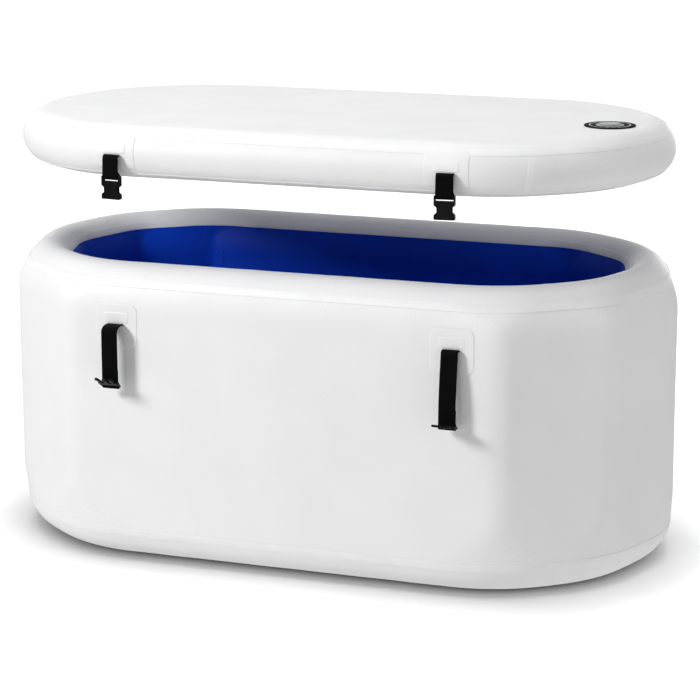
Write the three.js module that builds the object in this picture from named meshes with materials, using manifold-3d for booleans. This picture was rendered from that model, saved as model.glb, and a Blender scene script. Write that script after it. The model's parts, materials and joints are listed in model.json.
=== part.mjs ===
// Inflatable cold plunge tub with its inflatable lid lifted clear of the rim.
// Millimetres, +Z up, origin under the middle of the base, +X along the tub, front at -Y.
// Every inflated panel is a thin skin round an air space that drop-stitch threads hold flat.
import * as THREE from 'three';
import { mergeGeometries, mergeVertices } from 'three/addons/utils/BufferGeometryUtils.js';
import Module from 'manifold-3d';

const wasm = await Module();
wasm.setup();

// Plan of the wall: long flat sides, a diagonal panel at each corner and two panels at each end
const SIDE_HALF_WIDTH = 419;
const SIDE_BEND_X = 497;
const END_BEND_X = 704;
const END_BEND_Y = 252;
const END_TIP_X = 779;
const WALL_BEND_RADIUS = 95;
const LINER_BEND_RADIUS = 35;
const OVAL_BEND_RADIUS = 345;
const BEND_STEPS = 3;

// Section of the wall
const TUB_HEIGHT = 669;
const WALL_THICKNESS = 127;
const RAIL_ARCH_HEIGHT = 102;
const BOTTOM_RADIUS = 82;
const BOTTOM_FLANGE = 40;
const FLOOR_HEIGHT = 76;
const RAIL_ARCH_STEPS = 5;
const BOTTOM_STEPS = 4;
const BLEND_STEPS = 2;
const RIM_BLEND_START = 78;
const RIM_BLEND_END = 16;
const FOOT_BLEND_START = 62;
const FOOT_BLEND_END = 170;

// Sheets, tapes and the air gap left between pieces that touch
const SKIN = 1.2;
const BASE_SHEET = 1.5;
const TAPE = 0.8;
const TAPE_WIDTH = 19;
const CORNER_TAPE_LEG = 20;
const GAP = 0.3;
const LEAST_LEVEL_STEP = 9;

// Seams, measured down from the rim or up from the ground
const TOP_SEAM_BELOW_RIM = 38;
const INNER_SEAM_BELOW_RIM = 27;
const BOTTOM_SEAM_HEIGHT = 66;

// Drop-stitch threads, bundled into strands on a backing cloth
const CLOTH = 0.6;
const STRAND_RADIUS = 1.1;
const STRAND_SIDES = 3;
const STRAND_PITCH = 270;
const STRAND_EDGE = 40;
const CLOTH_EDGE = 14;
const WALL_STRANDS_LOW = 190;
const WALL_STRANDS_BELOW_RIM = 125;
const STRAND_ROWS = 2;

// Lid
const LID_INSET = 9;
const LID_THICKNESS = 115;
const LID_LIFT = 189;
const LID_EDGE_STEPS = 10;
const LID_TOP_SEAM_ANGLE = 36;
const LID_BOTTOM_SEAM_ANGLE = -54;

// Strap stations along the long sides, measured back from the bend
const TUB_LEFT_FROM_BEND = 121;
const TUB_RIGHT_FROM_BEND = 101;
const LID_LEFT_FROM_BEND = 117;
const LID_RIGHT_FROM_BEND = 120;
const LEFT_ROOT_BELOW_RIM = 125;
const RIGHT_ROOT_BELOW_RIM = 123;

// Webbing
const WEBBING_WIDTH = 38;
const WEBBING = 1.8;
const HEM_RADIUS = 2;
const HEM_SIDES = 8;
const STITCHED_LENGTH = 24;
const BEND_DROP = 16;
const STRAP_CURVE_STEPS = 5;
const EYE_STEPS = 4;
const LEFT_STRAP_LENGTH = 159;
const RIGHT_STRAP_LENGTH = 170;
const LEFT_STAND_OFF = 34;
const RIGHT_STAND_OFF = 13;
const RIGHT_LEAN = 14;
const LID_STRAP_LENGTH = 52;
const LID_STAND_OFF = 9;

// Patches that hold the straps
const PATCH = 1.2;
const PATCH_WIDTH = 98;
const PATCH_HEIGHT = 96;
const PATCH_CORNER = 16;
const PATCH_ABOVE_ROOT = 42;
const KEEPER = 2;
const KEEPER_WIDTH = 58;
const KEEPER_HEIGHT = 23;
const KEEPER_CORNER = 6;
const CORNER_STEPS = 3;
const LID_PATCH_WIDTH = 98;
const LID_PATCH_TOP_ANGLE = 52;
const LID_PATCH_BOTTOM_ANGLE = -34;
const LID_KEEPER_HEIGHT = 22;

// Side-release buckles for the webbing
const BUCKLE_WIDTH = 45;
const SLOT_CLEARANCE = 0.4;
const BAR_HALF = 2.4;
const SLOT_LENGTH = 8;
const MALE_THICKNESS = 5;
const MALE_BODY_LENGTH = 13;
const PRONG_LENGTH = 27;
const PRONG_WIDTH = 5;
const PRONG_INNER_X = 13;
const BARB = 4;
const BARB_LENGTH = 10;
const TONGUE_WIDTH = 9;
const TONGUE_SHORTER = 5;
const LEFT_MALE_TILT = 30;
const RIGHT_MALE_TILT = 16;
const FEMALE_THICKNESS = 12;
const FEMALE_WALL = 2.4;
const FEMALE_SHOULDER = 19;
const FEMALE_WAIST_LENGTH = 10;
const FEMALE_WAIST = 33;
const FEMALE_TAPER = 5;
const FEMALE_MOUTH_LENGTH = 10.5;
const SOCKET_WIDTH = 37;

// Inflation valves
const LID_VALVE_FROM_TIP = 155;
const LID_VALVE_Y = -30;
const WALL_VALVE_X = 190;
const WALL_VALVE_BELOW_RIM = 250;
const VALVE_PAD_RADIUS = 56;
const VALVE_PAD = 1;
const VALVE_FLANGE_RADIUS = 29;
const VALVE_FLANGE = 2.4;
const VALVE_NECK_RADIUS = 21;
const VALVE_NECK_LENGTH = 30;
const VALVE_BORE_RADIUS = 17;
const VALVE_SPIDER_DEPTH = 13;
const VALVE_SPIDER = 2;
const VALVE_SPOKE_WIDTH = 3;
const VALVE_SPOKES = 3;
const VALVE_SEAT_DEPTH = 19;
const VALVE_SEAT = 3;
const VALVE_SEAT_RADIUS = 11;
const VALVE_CONE = 2;
const VALVE_HUB_RADIUS = 5.6;
const STEM_RADIUS = 2.4;
const BUTTON_RADIUS = 5.4;
const BUTTON = 2;
const BUTTON_DEPTH = 2.5;
const DISC_OVERLAP = 2;
const DISC = 2.6;
const SPRING_WIRE = 0.8;
const SPRING_RADIUS = 4.2;
const SPRING_TURNS = 3;
const SPRING_STEPS = 8;
const SPRING_SIDES = 5;
const NUT_RADIUS = 28;
const NUT = 7;
const NUT_SIDES = 6;
const CAP_RADIUS = 23;
const CAP = 4.5;
const CAP_LOBES = 8;
const CAP_LOBE_DEPTH = 1.3;
const CAP_LOBE_STEPS = 3;
const CAP_SKIRT = 4;
const CAP_SKIRT_WALL = 2.4;
const ROUND_SIDES = 16;

// Drain through the rear wall
const DRAIN_X = -190;
const DRAIN_ABOVE_TAPE = 4;
const DRAIN_FLANGE_RADIUS = 36;
const DRAIN_FLANGE = 4;
const DRAIN_TUBE_RADIUS = 21;
const DRAIN_BORE_RADIUS = 16.5;
const DRAIN_NECK = 15;
const DRAIN_INSIDE = 13;
const DRAIN_GASKET = 2;
const DRAIN_NUT_RADIUS = 33;
const DRAIN_SEAL_WIDTH = 3;
const DRAIN_NUT = 8;
const DRAIN_CAP_RADIUS = 27;
const DRAIN_CAP_TOP = 4;

// Finishes
const white = () => new THREE.MeshStandardMaterial({ color: 0xf1f1f3, roughness: 0.5, metalness: 0 });
const lidWhite = () => new THREE.MeshStandardMaterial({ color: 0xe6e7ea, roughness: 0.55, metalness: 0 });
const blue = () => new THREE.MeshStandardMaterial({ color: 0x0a2a9c, roughness: 0.45, metalness: 0 });
const black = () => new THREE.MeshStandardMaterial({ color: 0x17181a, roughness: 0.6, metalness: 0 });
const webbingBlack = () => new THREE.MeshStandardMaterial({ color: 0x141416, roughness: 0.9, metalness: 0 });
const grey = () => new THREE.MeshStandardMaterial({ color: 0x6d7074, roughness: 0.5, metalness: 0 });
const thread = () => new THREE.MeshStandardMaterial({ color: 0xdcdcd8, roughness: 0.9, metalness: 0 });
const steel = () => new THREE.MeshStandardMaterial({ color: 0xb8bcc2, roughness: 0.3, metalness: 1 });

const radians = THREE.MathUtils.degToRad;
const X_AXIS = new THREE.Vector3(1, 0, 0);
const Y_AXIS = new THREE.Vector3(0, 1, 0);
const Z_AXIS = new THREE.Vector3(0, 0, 1);
const SPRING_LINE = TUB_HEIGHT - RAIL_ARCH_HEIGHT;
const RAIL_FOOT = BASE_SHEET + GAP;
const INSIDE_FOOT = RAIL_FOOT + SKIN + GAP;
const TAPE_FOOT = FLOOR_HEIGHT + SKIN + GAP;
const DRAIN_HEIGHT = TAPE_FOOT + CORNER_TAPE_LEG + DRAIN_NUT_RADIUS + DRAIN_ABOVE_TAPE;
const LID_RADIUS = LID_THICKNESS / 2;
const LID_BOTTOM = TUB_HEIGHT + GAP + LID_LIFT;
const LID_TOP = LID_BOTTOM + LID_THICKNESS;
const LID_MIDDLE = LID_BOTTOM + LID_RADIUS;
const BAR_REACH = Math.hypot(BAR_HALF, MALE_THICKNESS / 2) + GAP;
const EYE_RADIUS = BAR_REACH / Math.cos(Math.PI / (EYE_STEPS * 2)) + WEBBING / 2;
const SLOT_HALF_WIDTH = WEBBING_WIDTH / 2 + SLOT_CLEARANCE;
const FACET_SHARE = Math.cos(Math.PI / ROUND_SIDES);

// Booleans on closed geometry

function solidOf(geometry) {
  const bare = geometry.clone();
  bare.deleteAttribute('normal');
  bare.deleteAttribute('uv');
  const welded = mergeVertices(bare);
  const mesh = new wasm.Mesh({
    numProp: 3,
    vertProperties: Float32Array.from(welded.attributes.position.array),
    triVerts: Uint32Array.from(welded.index.array),
  });
  return new wasm.Manifold(mesh);
}

function geometryOf(solid) {
  const mesh = solid.getMesh();
  const geometry = new THREE.BufferGeometry();
  geometry.setAttribute('position', new THREE.BufferAttribute(mesh.vertProperties, mesh.numProp));
  geometry.setIndex(new THREE.BufferAttribute(mesh.triVerts, 1));
  geometry.computeVertexNormals();
  return geometry;
}

function join(geometry, ...others) {
  return geometryOf(others.reduce((sum, other) => sum.add(solidOf(other)), solidOf(geometry)));
}

function cut(geometry, ...tools) {
  return geometryOf(tools.reduce((rest, tool) => rest.subtract(solidOf(tool)), solidOf(geometry)));
}

// Plan outlines

function bendCorners() {
  const quarter = [[END_BEND_X, END_BEND_Y], [SIDE_BEND_X, SIDE_HALF_WIDTH]];
  const left = [...quarter].reverse().map(([x, y]) => [-x, y]);
  const rear = [[END_TIP_X, 0], ...quarter, ...left];
  const front = rear.map(([x, y]) => [-x, -y]);
  return [...rear, ...front].map(([x, y]) => new THREE.Vector2(x, y));
}

const CORNERS = bendCorners();
const REAR_SIDE_BEND = CORNERS.findIndex((corner) => corner.y === SIDE_HALF_WIDTH);
const FRONT_SIDE_BEND = CORNERS.findIndex((corner) => corner.y === -SIDE_HALF_WIDTH);
const END_PANELS = FRONT_SIDE_BEND - REAR_SIDE_BEND - 1;

function neighbours(points, index) {
  const last = points.length;
  return [points[(index + last - 1) % last], points[index], points[(index + 1) % last]];
}

function turnAt(points, index) {
  const [before, here, after] = neighbours(points, index);
  const arriving = here.clone().sub(before).normalize();
  const leaving = after.clone().sub(here).normalize();
  const turn = Math.acos(THREE.MathUtils.clamp(arriving.dot(leaving), -1, 1));
  return { arriving, leaving, turn };
}

// The fillet at a bend never takes more than half of the shorter panel beside it
function bendLimit(index) {
  const [before, here, after] = neighbours(CORNERS, index);
  const shorter = Math.min(here.distanceTo(before), here.distanceTo(after));
  return shorter / 2 / Math.tan(turnAt(CORNERS, index).turn / 2);
}

function insetCorner(index, inset) {
  const { arriving, leaving, turn } = turnAt(CORNERS, index);
  const inward = leaving.clone().sub(arriving).normalize();
  return CORNERS[index].clone().addScaledVector(inward, inset / Math.cos(turn / 2));
}

// One closed plan curve: the panels moved inward by an inset, with every bend rounded
function outline(inset, bendRadius, leastRadius) {
  return CORNERS.flatMap((corner, index) => {
    const { arriving, leaving, turn } = turnAt(CORNERS, index);
    const radius = Math.max(Math.min(bendRadius, bendLimit(index)) - inset, leastRadius);
    const tip = insetCorner(index, inset);
    const start = tip.clone().addScaledVector(arriving, -radius * Math.tan(turn / 2));
    const centre = start.clone().addScaledVector(new THREE.Vector2(-arriving.y, arriving.x), radius);
    const spoke = start.clone().sub(centre);
    return Array.from({ length: BEND_STEPS + 1 }, (_, step) => {
      const swing = (turn * step) / BEND_STEPS;
      return spoke.clone().rotateAround(new THREE.Vector2(), swing).add(centre);
    });
  });
}

function ringAt(inset, z, bendRadius, leastRadius) {
  return outline(inset, bendRadius, leastRadius).map((p) => new THREE.Vector3(p.x, p.y, z));
}

function sheet(inset, z, thickness, bendRadius, leastRadius) {
  const shape = new THREE.Shape(outline(inset, bendRadius, leastRadius));
  const geometry = new THREE.ExtrudeGeometry(shape, { depth: thickness, bevelEnabled: false });
  return geometry.translate(0, 0, z);
}

// Lofts

function turnedOut(geometry) {
  const p = geometry.attributes.position;
  const index = geometry.index;
  const [a, b, c] = [new THREE.Vector3(), new THREE.Vector3(), new THREE.Vector3()];
  let volume = 0;
  for (let i = 0; i < index.count; i += 3) {
    a.fromBufferAttribute(p, index.getX(i));
    b.fromBufferAttribute(p, index.getX(i + 1));
    c.fromBufferAttribute(p, index.getX(i + 2));
    volume += a.dot(b.cross(c));
  }
  if (volume < 0) {
    geometry.setIndex(Array.from(index.array).reverse());
  }
  geometry.computeVertexNormals();
  return geometry;
}

// Skin through a row of rings of equal count, closed round or capped at both ends
function loft(rings, closed) {
  const count = rings[0].length;
  const points = rings.flat();
  const faces = [];
  const spans = closed ? rings.length : rings.length - 1;
  for (let r = 0; r < spans; r += 1) {
    const low = r * count;
    const high = ((r + 1) % rings.length) * count;
    for (let i = 0; i < count; i += 1) {
      const next = (i + 1) % count;
      faces.push(low + i, low + next, high + next, low + i, high + next, high + i);
    }
  }
  if (!closed) {
    [0, rings.length - 1].forEach((r, end) => {
      const hub = points.length;
      const middle = rings[r].reduce((sum, p) => sum.add(p), new THREE.Vector3());
      points.push(middle.divideScalar(count));
      for (let i = 0; i < count; i += 1) {
        const next = (i + 1) % count;
        faces.push(...(end ? [r * count + i, r * count + next, hub] : [next, i, hub]));
      }
    });
  }
  const geometry = new THREE.BufferGeometry().setFromPoints(points);
  geometry.setIndex(faces);
  return turnedOut(geometry);
}

// Closed sheet between two grids of points that match row by row
function slab(under, over) {
  const [rows, columns] = [under.length, under[0].length];
  const points = [...under.flat(), ...over.flat()];
  const lift = rows * columns;
  const faces = [];
  const quad = (a, b, c, d) => faces.push(a, b, c, a, c, d);
  for (let r = 0; r + 1 < rows; r += 1) {
    for (let c = 0; c + 1 < columns; c += 1) {
      const at = r * columns + c;
      quad(at, at + 1, at + columns + 1, at + columns);
      quad(lift + at, lift + at + columns, lift + at + columns + 1, lift + at + 1);
    }
    const [left, right] = [r * columns, r * columns + columns - 1];
    quad(left + columns, lift + left + columns, lift + left, left);
    quad(right, lift + right, lift + right + columns, right + columns);
  }
  const last = (rows - 1) * columns;
  for (let c = 0; c + 1 < columns; c += 1) {
    quad(c, lift + c, lift + c + 1, c + 1);
    quad(last + c + 1, lift + last + c + 1, lift + last + c, last + c);
  }
  const geometry = new THREE.BufferGeometry().setFromPoints(points);
  geometry.setIndex(faces);
  return turnedOut(geometry);
}

// Sections: stations carry an inset, a height, a bend radius and the way out of the air space

function withNormals(stations) {
  const along = (from, to) => new THREE.Vector2(to.inset - from.inset, to.z - from.z).normalize();
  return stations.map((station, i) => {
    const before = i > 0 ? along(stations[i - 1], station) : along(station, stations[i + 1]);
    const after = i + 1 < stations.length ? along(station, stations[i + 1]) : before;
    const sideBefore = new THREE.Vector2(-before.y, before.x);
    const sideAfter = new THREE.Vector2(-after.y, after.x);
    const out = sideBefore.clone().add(sideAfter).normalize();
    return { ...station, out: out.divideScalar(out.dot(sideAfter)) };
  });
}

function stationRing(station, offset) {
  const inset = station.inset + station.out.x * offset;
  return ringAt(inset, station.z + station.out.y * offset, station.bend, LINER_BEND_RADIUS);
}

function band(stations, low, high) {
  const inner = stations.map((station) => stationRing(station, low));
  const outer = stations.map((station) => stationRing(station, high)).reverse();
  return loft([...inner, ...outer], true);
}

// A row of points whose two ends stop half a gap short
function seamed(points) {
  const reversed = [...points].reverse();
  const [first, last] = [points, reversed].map(([end, next]) => {
    const inward = next.clone().sub(end).setLength(GAP / 2);
    return inward.add(end);
  });
  return [first, ...points.slice(1, -1), last];
}

// One length of the same skin, over a count of panels from a given bend, seamed near the middle of the bends
function panelRun(stations, low, high, firstBend, panels) {
  const perBend = BEND_STEPS + 1;
  const seam = firstBend * perBend + Math.floor(BEND_STEPS / 2);
  const columns = spread(seam, seam + panels * perBend, panels * perBend);
  const strip = (ring) => seamed(columns.map((c) => ring[c % ring.length]));
  return slab(...[low, high].map((offset) => stations.map((station) => strip(stationRing(station, offset)))));
}

function cappedSkin(stations) {
  const outer = stations.map((station) => stationRing(station, 0));
  const inner = stations.map((station) => stationRing(station, -SKIN)).reverse();
  return loft([...outer, ...inner], false);
}

// Levels that must be kept come first, and the rest only where they leave a fair step
function levels(kept, fill) {
  const clear = fill.filter((z) => kept.every((k) => Math.abs(k - z) > LEAST_LEVEL_STEP));
  return [...new Set([...kept, ...clear])].sort((a, b) => a - b);
}

function seamLevels(z) {
  return [z - TAPE_WIDTH / 2, z - GAP / 2, z + GAP / 2, z + TAPE_WIDTH / 2];
}

function spread(from, to, steps) {
  return Array.from({ length: steps + 1 }, (_, i) => from + ((to - from) * i) / steps);
}

const TOP_SEAM = TUB_HEIGHT - TOP_SEAM_BELOW_RIM;
const INNER_SEAM = TUB_HEIGHT - INNER_SEAM_BELOW_RIM;
const FOOT_TOP = RAIL_FOOT + BOTTOM_RADIUS;

function archInset(z) {
  const rise = THREE.MathUtils.clamp((z - SPRING_LINE) / RAIL_ARCH_HEIGHT, 0, 1);
  return (WALL_THICKNESS / 2) * (1 - Math.sqrt(1 - rise * rise));
}

function wallInset(z) {
  const below = Math.max(FOOT_TOP - z, 0);
  return BOTTOM_RADIUS - Math.sqrt(Math.max(BOTTOM_RADIUS ** 2 - below ** 2, 0)) + archInset(z);
}

function rimBlend(z) {
  return THREE.MathUtils.smoothstep(z, TUB_HEIGHT - RIM_BLEND_START, TUB_HEIGHT - RIM_BLEND_END);
}

function wallBend(z) {
  const foot = 1 - THREE.MathUtils.smoothstep(z, FOOT_BLEND_START, FOOT_BLEND_END);
  return THREE.MathUtils.lerp(WALL_BEND_RADIUS, OVAL_BEND_RADIUS, Math.max(rimBlend(z), foot));
}

function linerBend(z) {
  return THREE.MathUtils.lerp(WALL_BEND_RADIUS, OVAL_BEND_RADIUS, rimBlend(z));
}

// The whole wall section as one line: base flange, outside, over the rim, down the inside
function wallSection() {
  const quarter = (steps) => spread(0, Math.PI / 2, steps);
  const arch = quarter(RAIL_ARCH_STEPS).map((u) => SPRING_LINE + RAIL_ARCH_HEIGHT * Math.sin(u));
  const foot = quarter(BOTTOM_STEPS).map((u) => FOOT_TOP - BOTTOM_RADIUS * Math.cos(u));
  const rim = spread(TUB_HEIGHT - RIM_BLEND_START, TUB_HEIGHT - RIM_BLEND_END, BLEND_STEPS);
  const heel = spread(FOOT_BLEND_START, FOOT_BLEND_END, BLEND_STEPS);
  const outerKept = [RAIL_FOOT, ...seamLevels(BOTTOM_SEAM_HEIGHT), ...seamLevels(TOP_SEAM), TUB_HEIGHT];
  const outside = levels(outerKept, [...foot, ...heel, ...arch, ...rim]);
  const inside = levels([INSIDE_FOOT, ...seamLevels(INNER_SEAM)], [...arch, ...rim]);
  const descending = inside.filter((z) => z < TUB_HEIGHT).reverse();
  const flange = { inset: BOTTOM_RADIUS + BOTTOM_FLANGE, z: RAIL_FOOT, bend: OVAL_BEND_RADIUS };
  return withNormals([
    flange,
    ...outside.map((z) => ({ inset: wallInset(z), z, bend: wallBend(z) })),
    ...descending.map((z) => ({ inset: WALL_THICKNESS - archInset(z), z, bend: linerBend(z), inside: true })),
  ]);
}

const SECTION = wallSection();

function stationIndex(z, inside) {
  const near = SECTION.map((s, i) => ({ i, off: Math.abs(s.z - z), inside: Boolean(s.inside) }));
  const side = near.filter((s) => s.inside === inside && (s.i > 0));
  return side.reduce((best, s) => (s.off < best.off ? s : best)).i;
}

function between(low, high) {
  return SECTION.slice(low, high + 1);
}

function tapeStations(seam, inside) {
  const [low, spare, high] = [seam - TAPE_WIDTH / 2, seam + GAP / 2, seam + TAPE_WIDTH / 2].map((z) =>
    stationIndex(z, inside),
  );
  return SECTION.filter((_, i) => i >= Math.min(low, high) && i <= Math.max(low, high) && i !== spare);
}

// Round and swept pieces

function roundBar(radius, length, sides) {
  return new THREE.CylinderGeometry(radius, radius, length, sides);
}

function rodBetween(from, to, radius, sides) {
  const along = to.clone().sub(from);
  const rod = roundBar(radius, along.length(), sides);
  rod.applyQuaternion(new THREE.Quaternion().setFromUnitVectors(Y_AXIS, along.normalize()));
  const middle = from.clone().add(to).divideScalar(2);
  return rod.translate(middle.x, middle.y, middle.z);
}

// Turned piece about Z from a closed list of radius and height pairs
function turned(profile) {
  const points = [...profile, profile[0]].map(([r, z]) => new THREE.Vector2(r, z));
  return turnedOut(new THREE.LatheGeometry(points, ROUND_SIDES).rotateX(Math.PI / 2));
}

function prism(shape, depth) {
  return new THREE.ExtrudeGeometry(shape, { depth, bevelEnabled: false, curveSegments: CORNER_STEPS });
}

// A shape drawn in outward and upward distances, extruded across the webbing's width
const ACROSS = new THREE.Matrix4().makeBasis(Y_AXIS, Z_AXIS, X_AXIS);

function acrossWidth(shape, width) {
  return prism(shape, width).applyMatrix4(ACROSS).translate(-width / 2, 0, 0);
}

function roundedRectangle(width, height, radius) {
  const [w, h] = [width / 2, height / 2];
  const shape = new THREE.Shape();
  shape.moveTo(-w + radius, -h);
  shape.lineTo(w - radius, -h);
  shape.absarc(w - radius, -h + radius, radius, -Math.PI / 2, 0);
  shape.lineTo(w, h - radius);
  shape.absarc(w - radius, h - radius, radius, 0, Math.PI / 2);
  shape.lineTo(-w + radius, h);
  shape.absarc(-w + radius, h - radius, radius, Math.PI / 2, Math.PI);
  shape.lineTo(-w, -h + radius);
  shape.absarc(-w + radius, -h + radius, radius, Math.PI, Math.PI * 1.5);
  return shape;
}

// Webbing

// Centre line of a strap: from its hem at the origin outward, over the bend, then down and out by its lean
function strapLine(length, standOff, lean) {
  const path = new THREE.Path();
  path.moveTo(0, 0);
  path.bezierCurveTo(standOff / 2, 0, standOff, 0, standOff, -BEND_DROP);
  const straight = length - path.getLength();
  const fall = Math.sqrt(straight ** 2 - lean ** 2);
  const foot = new THREE.Vector2(standOff + lean, -BEND_DROP - fall);
  const up = new THREE.Vector2(-lean, fall).divideScalar(straight);
  const bar = new THREE.Vector2(-up.y, up.x).multiplyScalar(EYE_RADIUS).add(foot);
  return { curve: path.curves[0], foot, bar, up };
}

function ribbon(points, thickness) {
  const sides = points.map((point, i) => {
    const from = points[Math.max(i - 1, 0)];
    const to = points[Math.min(i + 1, points.length - 1)];
    const along = to.clone().sub(from).normalize();
    return new THREE.Vector2(-along.y, along.x).multiplyScalar(thickness / 2);
  });
  const left = points.map((point, i) => point.clone().add(sides[i]));
  const right = points.map((point, i) => point.clone().sub(sides[i])).reverse();
  return new THREE.Shape([...left, ...right]);
}

// A strap with a rolled hem at its root, a stitched double run and an eye round the buckle's bar
function strapGeometry(length, standOff, lean) {
  const { curve, foot, bar, up } = strapLine(length, standOff, lean);
  const line = [...curve.getPoints(STRAP_CURVE_STEPS), foot];
  const main = acrossWidth(ribbon(line, WEBBING), WEBBING_WIDTH);
  const eye = new THREE.Shape();
  eye.absarc(bar.x, bar.y, EYE_RADIUS + WEBBING / 2, 0, Math.PI * 2);
  const hole = new THREE.Path();
  hole.absarc(bar.x, bar.y, EYE_RADIUS - WEBBING / 2, 0, Math.PI * 2);
  eye.holes.push(hole);
  const loop = new THREE.ExtrudeGeometry(eye, {
    depth: WEBBING_WIDTH,
    bevelEnabled: false,
    curveSegments: EYE_STEPS,
  });
  loop.applyMatrix4(ACROSS).translate(-WEBBING_WIDTH / 2, 0, 0);
  const inward = new THREE.Vector2(-up.y, up.x);
  const tailTop = foot.clone().addScaledVector(inward, WEBBING).addScaledVector(up, STITCHED_LENGTH);
  const tailFoot = bar.clone().addScaledVector(up, EYE_RADIUS);
  const tail = acrossWidth(ribbon([tailFoot, tailTop], WEBBING), WEBBING_WIDTH);
  const hem = roundBar(HEM_RADIUS, WEBBING_WIDTH, HEM_SIDES).rotateZ(Math.PI / 2);
  return { geometry: join(main, loop, tail, hem), bar };
}

// Buckles, drawn flat with the bar on the X axis and the working end towards +Y

function mirrored(half) {
  const left = half.map(([x, y]) => new THREE.Vector2(-x, y)).reverse();
  return new THREE.Shape([...half.map(([x, y]) => new THREE.Vector2(x, y)), ...left]);
}

function webbingSlot() {
  const slot = new THREE.Path();
  slot.moveTo(-SLOT_HALF_WIDTH, BAR_HALF);
  slot.lineTo(-SLOT_HALF_WIDTH, BAR_HALF + SLOT_LENGTH);
  slot.lineTo(SLOT_HALF_WIDTH, BAR_HALF + SLOT_LENGTH);
  slot.lineTo(SLOT_HALF_WIDTH, BAR_HALF);
  return slot;
}

function maleBuckle() {
  const half = BUCKLE_WIDTH / 2;
  const body = BAR_HALF + SLOT_LENGTH + MALE_BODY_LENGTH;
  const tip = body + PRONG_LENGTH;
  const outer = PRONG_INNER_X + PRONG_WIDTH;
  const shape = mirrored([
    [half - BAR_HALF / 2, -BAR_HALF],
    [half, -BAR_HALF / 2],
    [half, body - BAR_HALF],
    [half - BAR_HALF, body],
    [outer, body + BAR_HALF / 2],
    [outer, tip - BARB_LENGTH],
    [outer + BARB, tip - BARB_LENGTH + BAR_HALF / 2],
    [outer + BARB / 2, tip - BARB],
    [outer - PRONG_WIDTH / 3, tip],
    [PRONG_INNER_X + PRONG_WIDTH / 3, tip - BARB / 2],
    [PRONG_INNER_X, tip - BARB_LENGTH],
    [PRONG_INNER_X, body],
    [TONGUE_WIDTH / 2, body],
    [TONGUE_WIDTH / 2, tip - TONGUE_SHORTER - BARB / 2],
    [TONGUE_WIDTH / 2 - BARB / 2, tip - TONGUE_SHORTER],
  ]);
  shape.holes.push(webbingSlot());
  return prism(shape, MALE_THICKNESS).translate(0, 0, -MALE_THICKNESS / 2);
}

function femaleBuckle() {
  const half = BUCKLE_WIDTH / 2;
  const waist = FEMALE_WAIST / 2;
  const waistStart = FEMALE_SHOULDER + FEMALE_TAPER;
  const waistEnd = waistStart + FEMALE_WAIST_LENGTH;
  const mouth = waistEnd + FEMALE_TAPER + FEMALE_MOUTH_LENGTH;
  const shape = mirrored([
    [half - BAR_HALF, -BAR_HALF],
    [half, 0],
    [half, FEMALE_SHOULDER],
    [waist, waistStart],
    [waist, waistEnd],
    [half, waistEnd + FEMALE_TAPER],
    [half, mouth - FEMALE_WALL / 2],
    [half - FEMALE_WALL / 2, mouth],
  ]);
  shape.holes.push(webbingSlot());
  const shell = prism(shape, FEMALE_THICKNESS).translate(0, 0, -FEMALE_THICKNESS / 2);
  const depth = mouth - FEMALE_SHOULDER;
  const socket = new THREE.BoxGeometry(SOCKET_WIDTH, depth * 2, FEMALE_THICKNESS - FEMALE_WALL * 2);
  socket.translate(0, FEMALE_SHOULDER + depth, 0);
  const barRelief = (FEMALE_THICKNESS - MALE_THICKNESS) / 2;
  const reliefs = [1, -1].map((side) => {
    const relief = new THREE.BoxGeometry(SLOT_HALF_WIDTH * 2, BAR_HALF * 3, barRelief);
    return relief.translate(0, -BAR_HALF / 2, (side * (FEMALE_THICKNESS - barRelief)) / 2);
  });
  return cut(shell, socket, ...reliefs);
}

// Inflation valve about Z, with the skin's outer face at height 0

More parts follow.
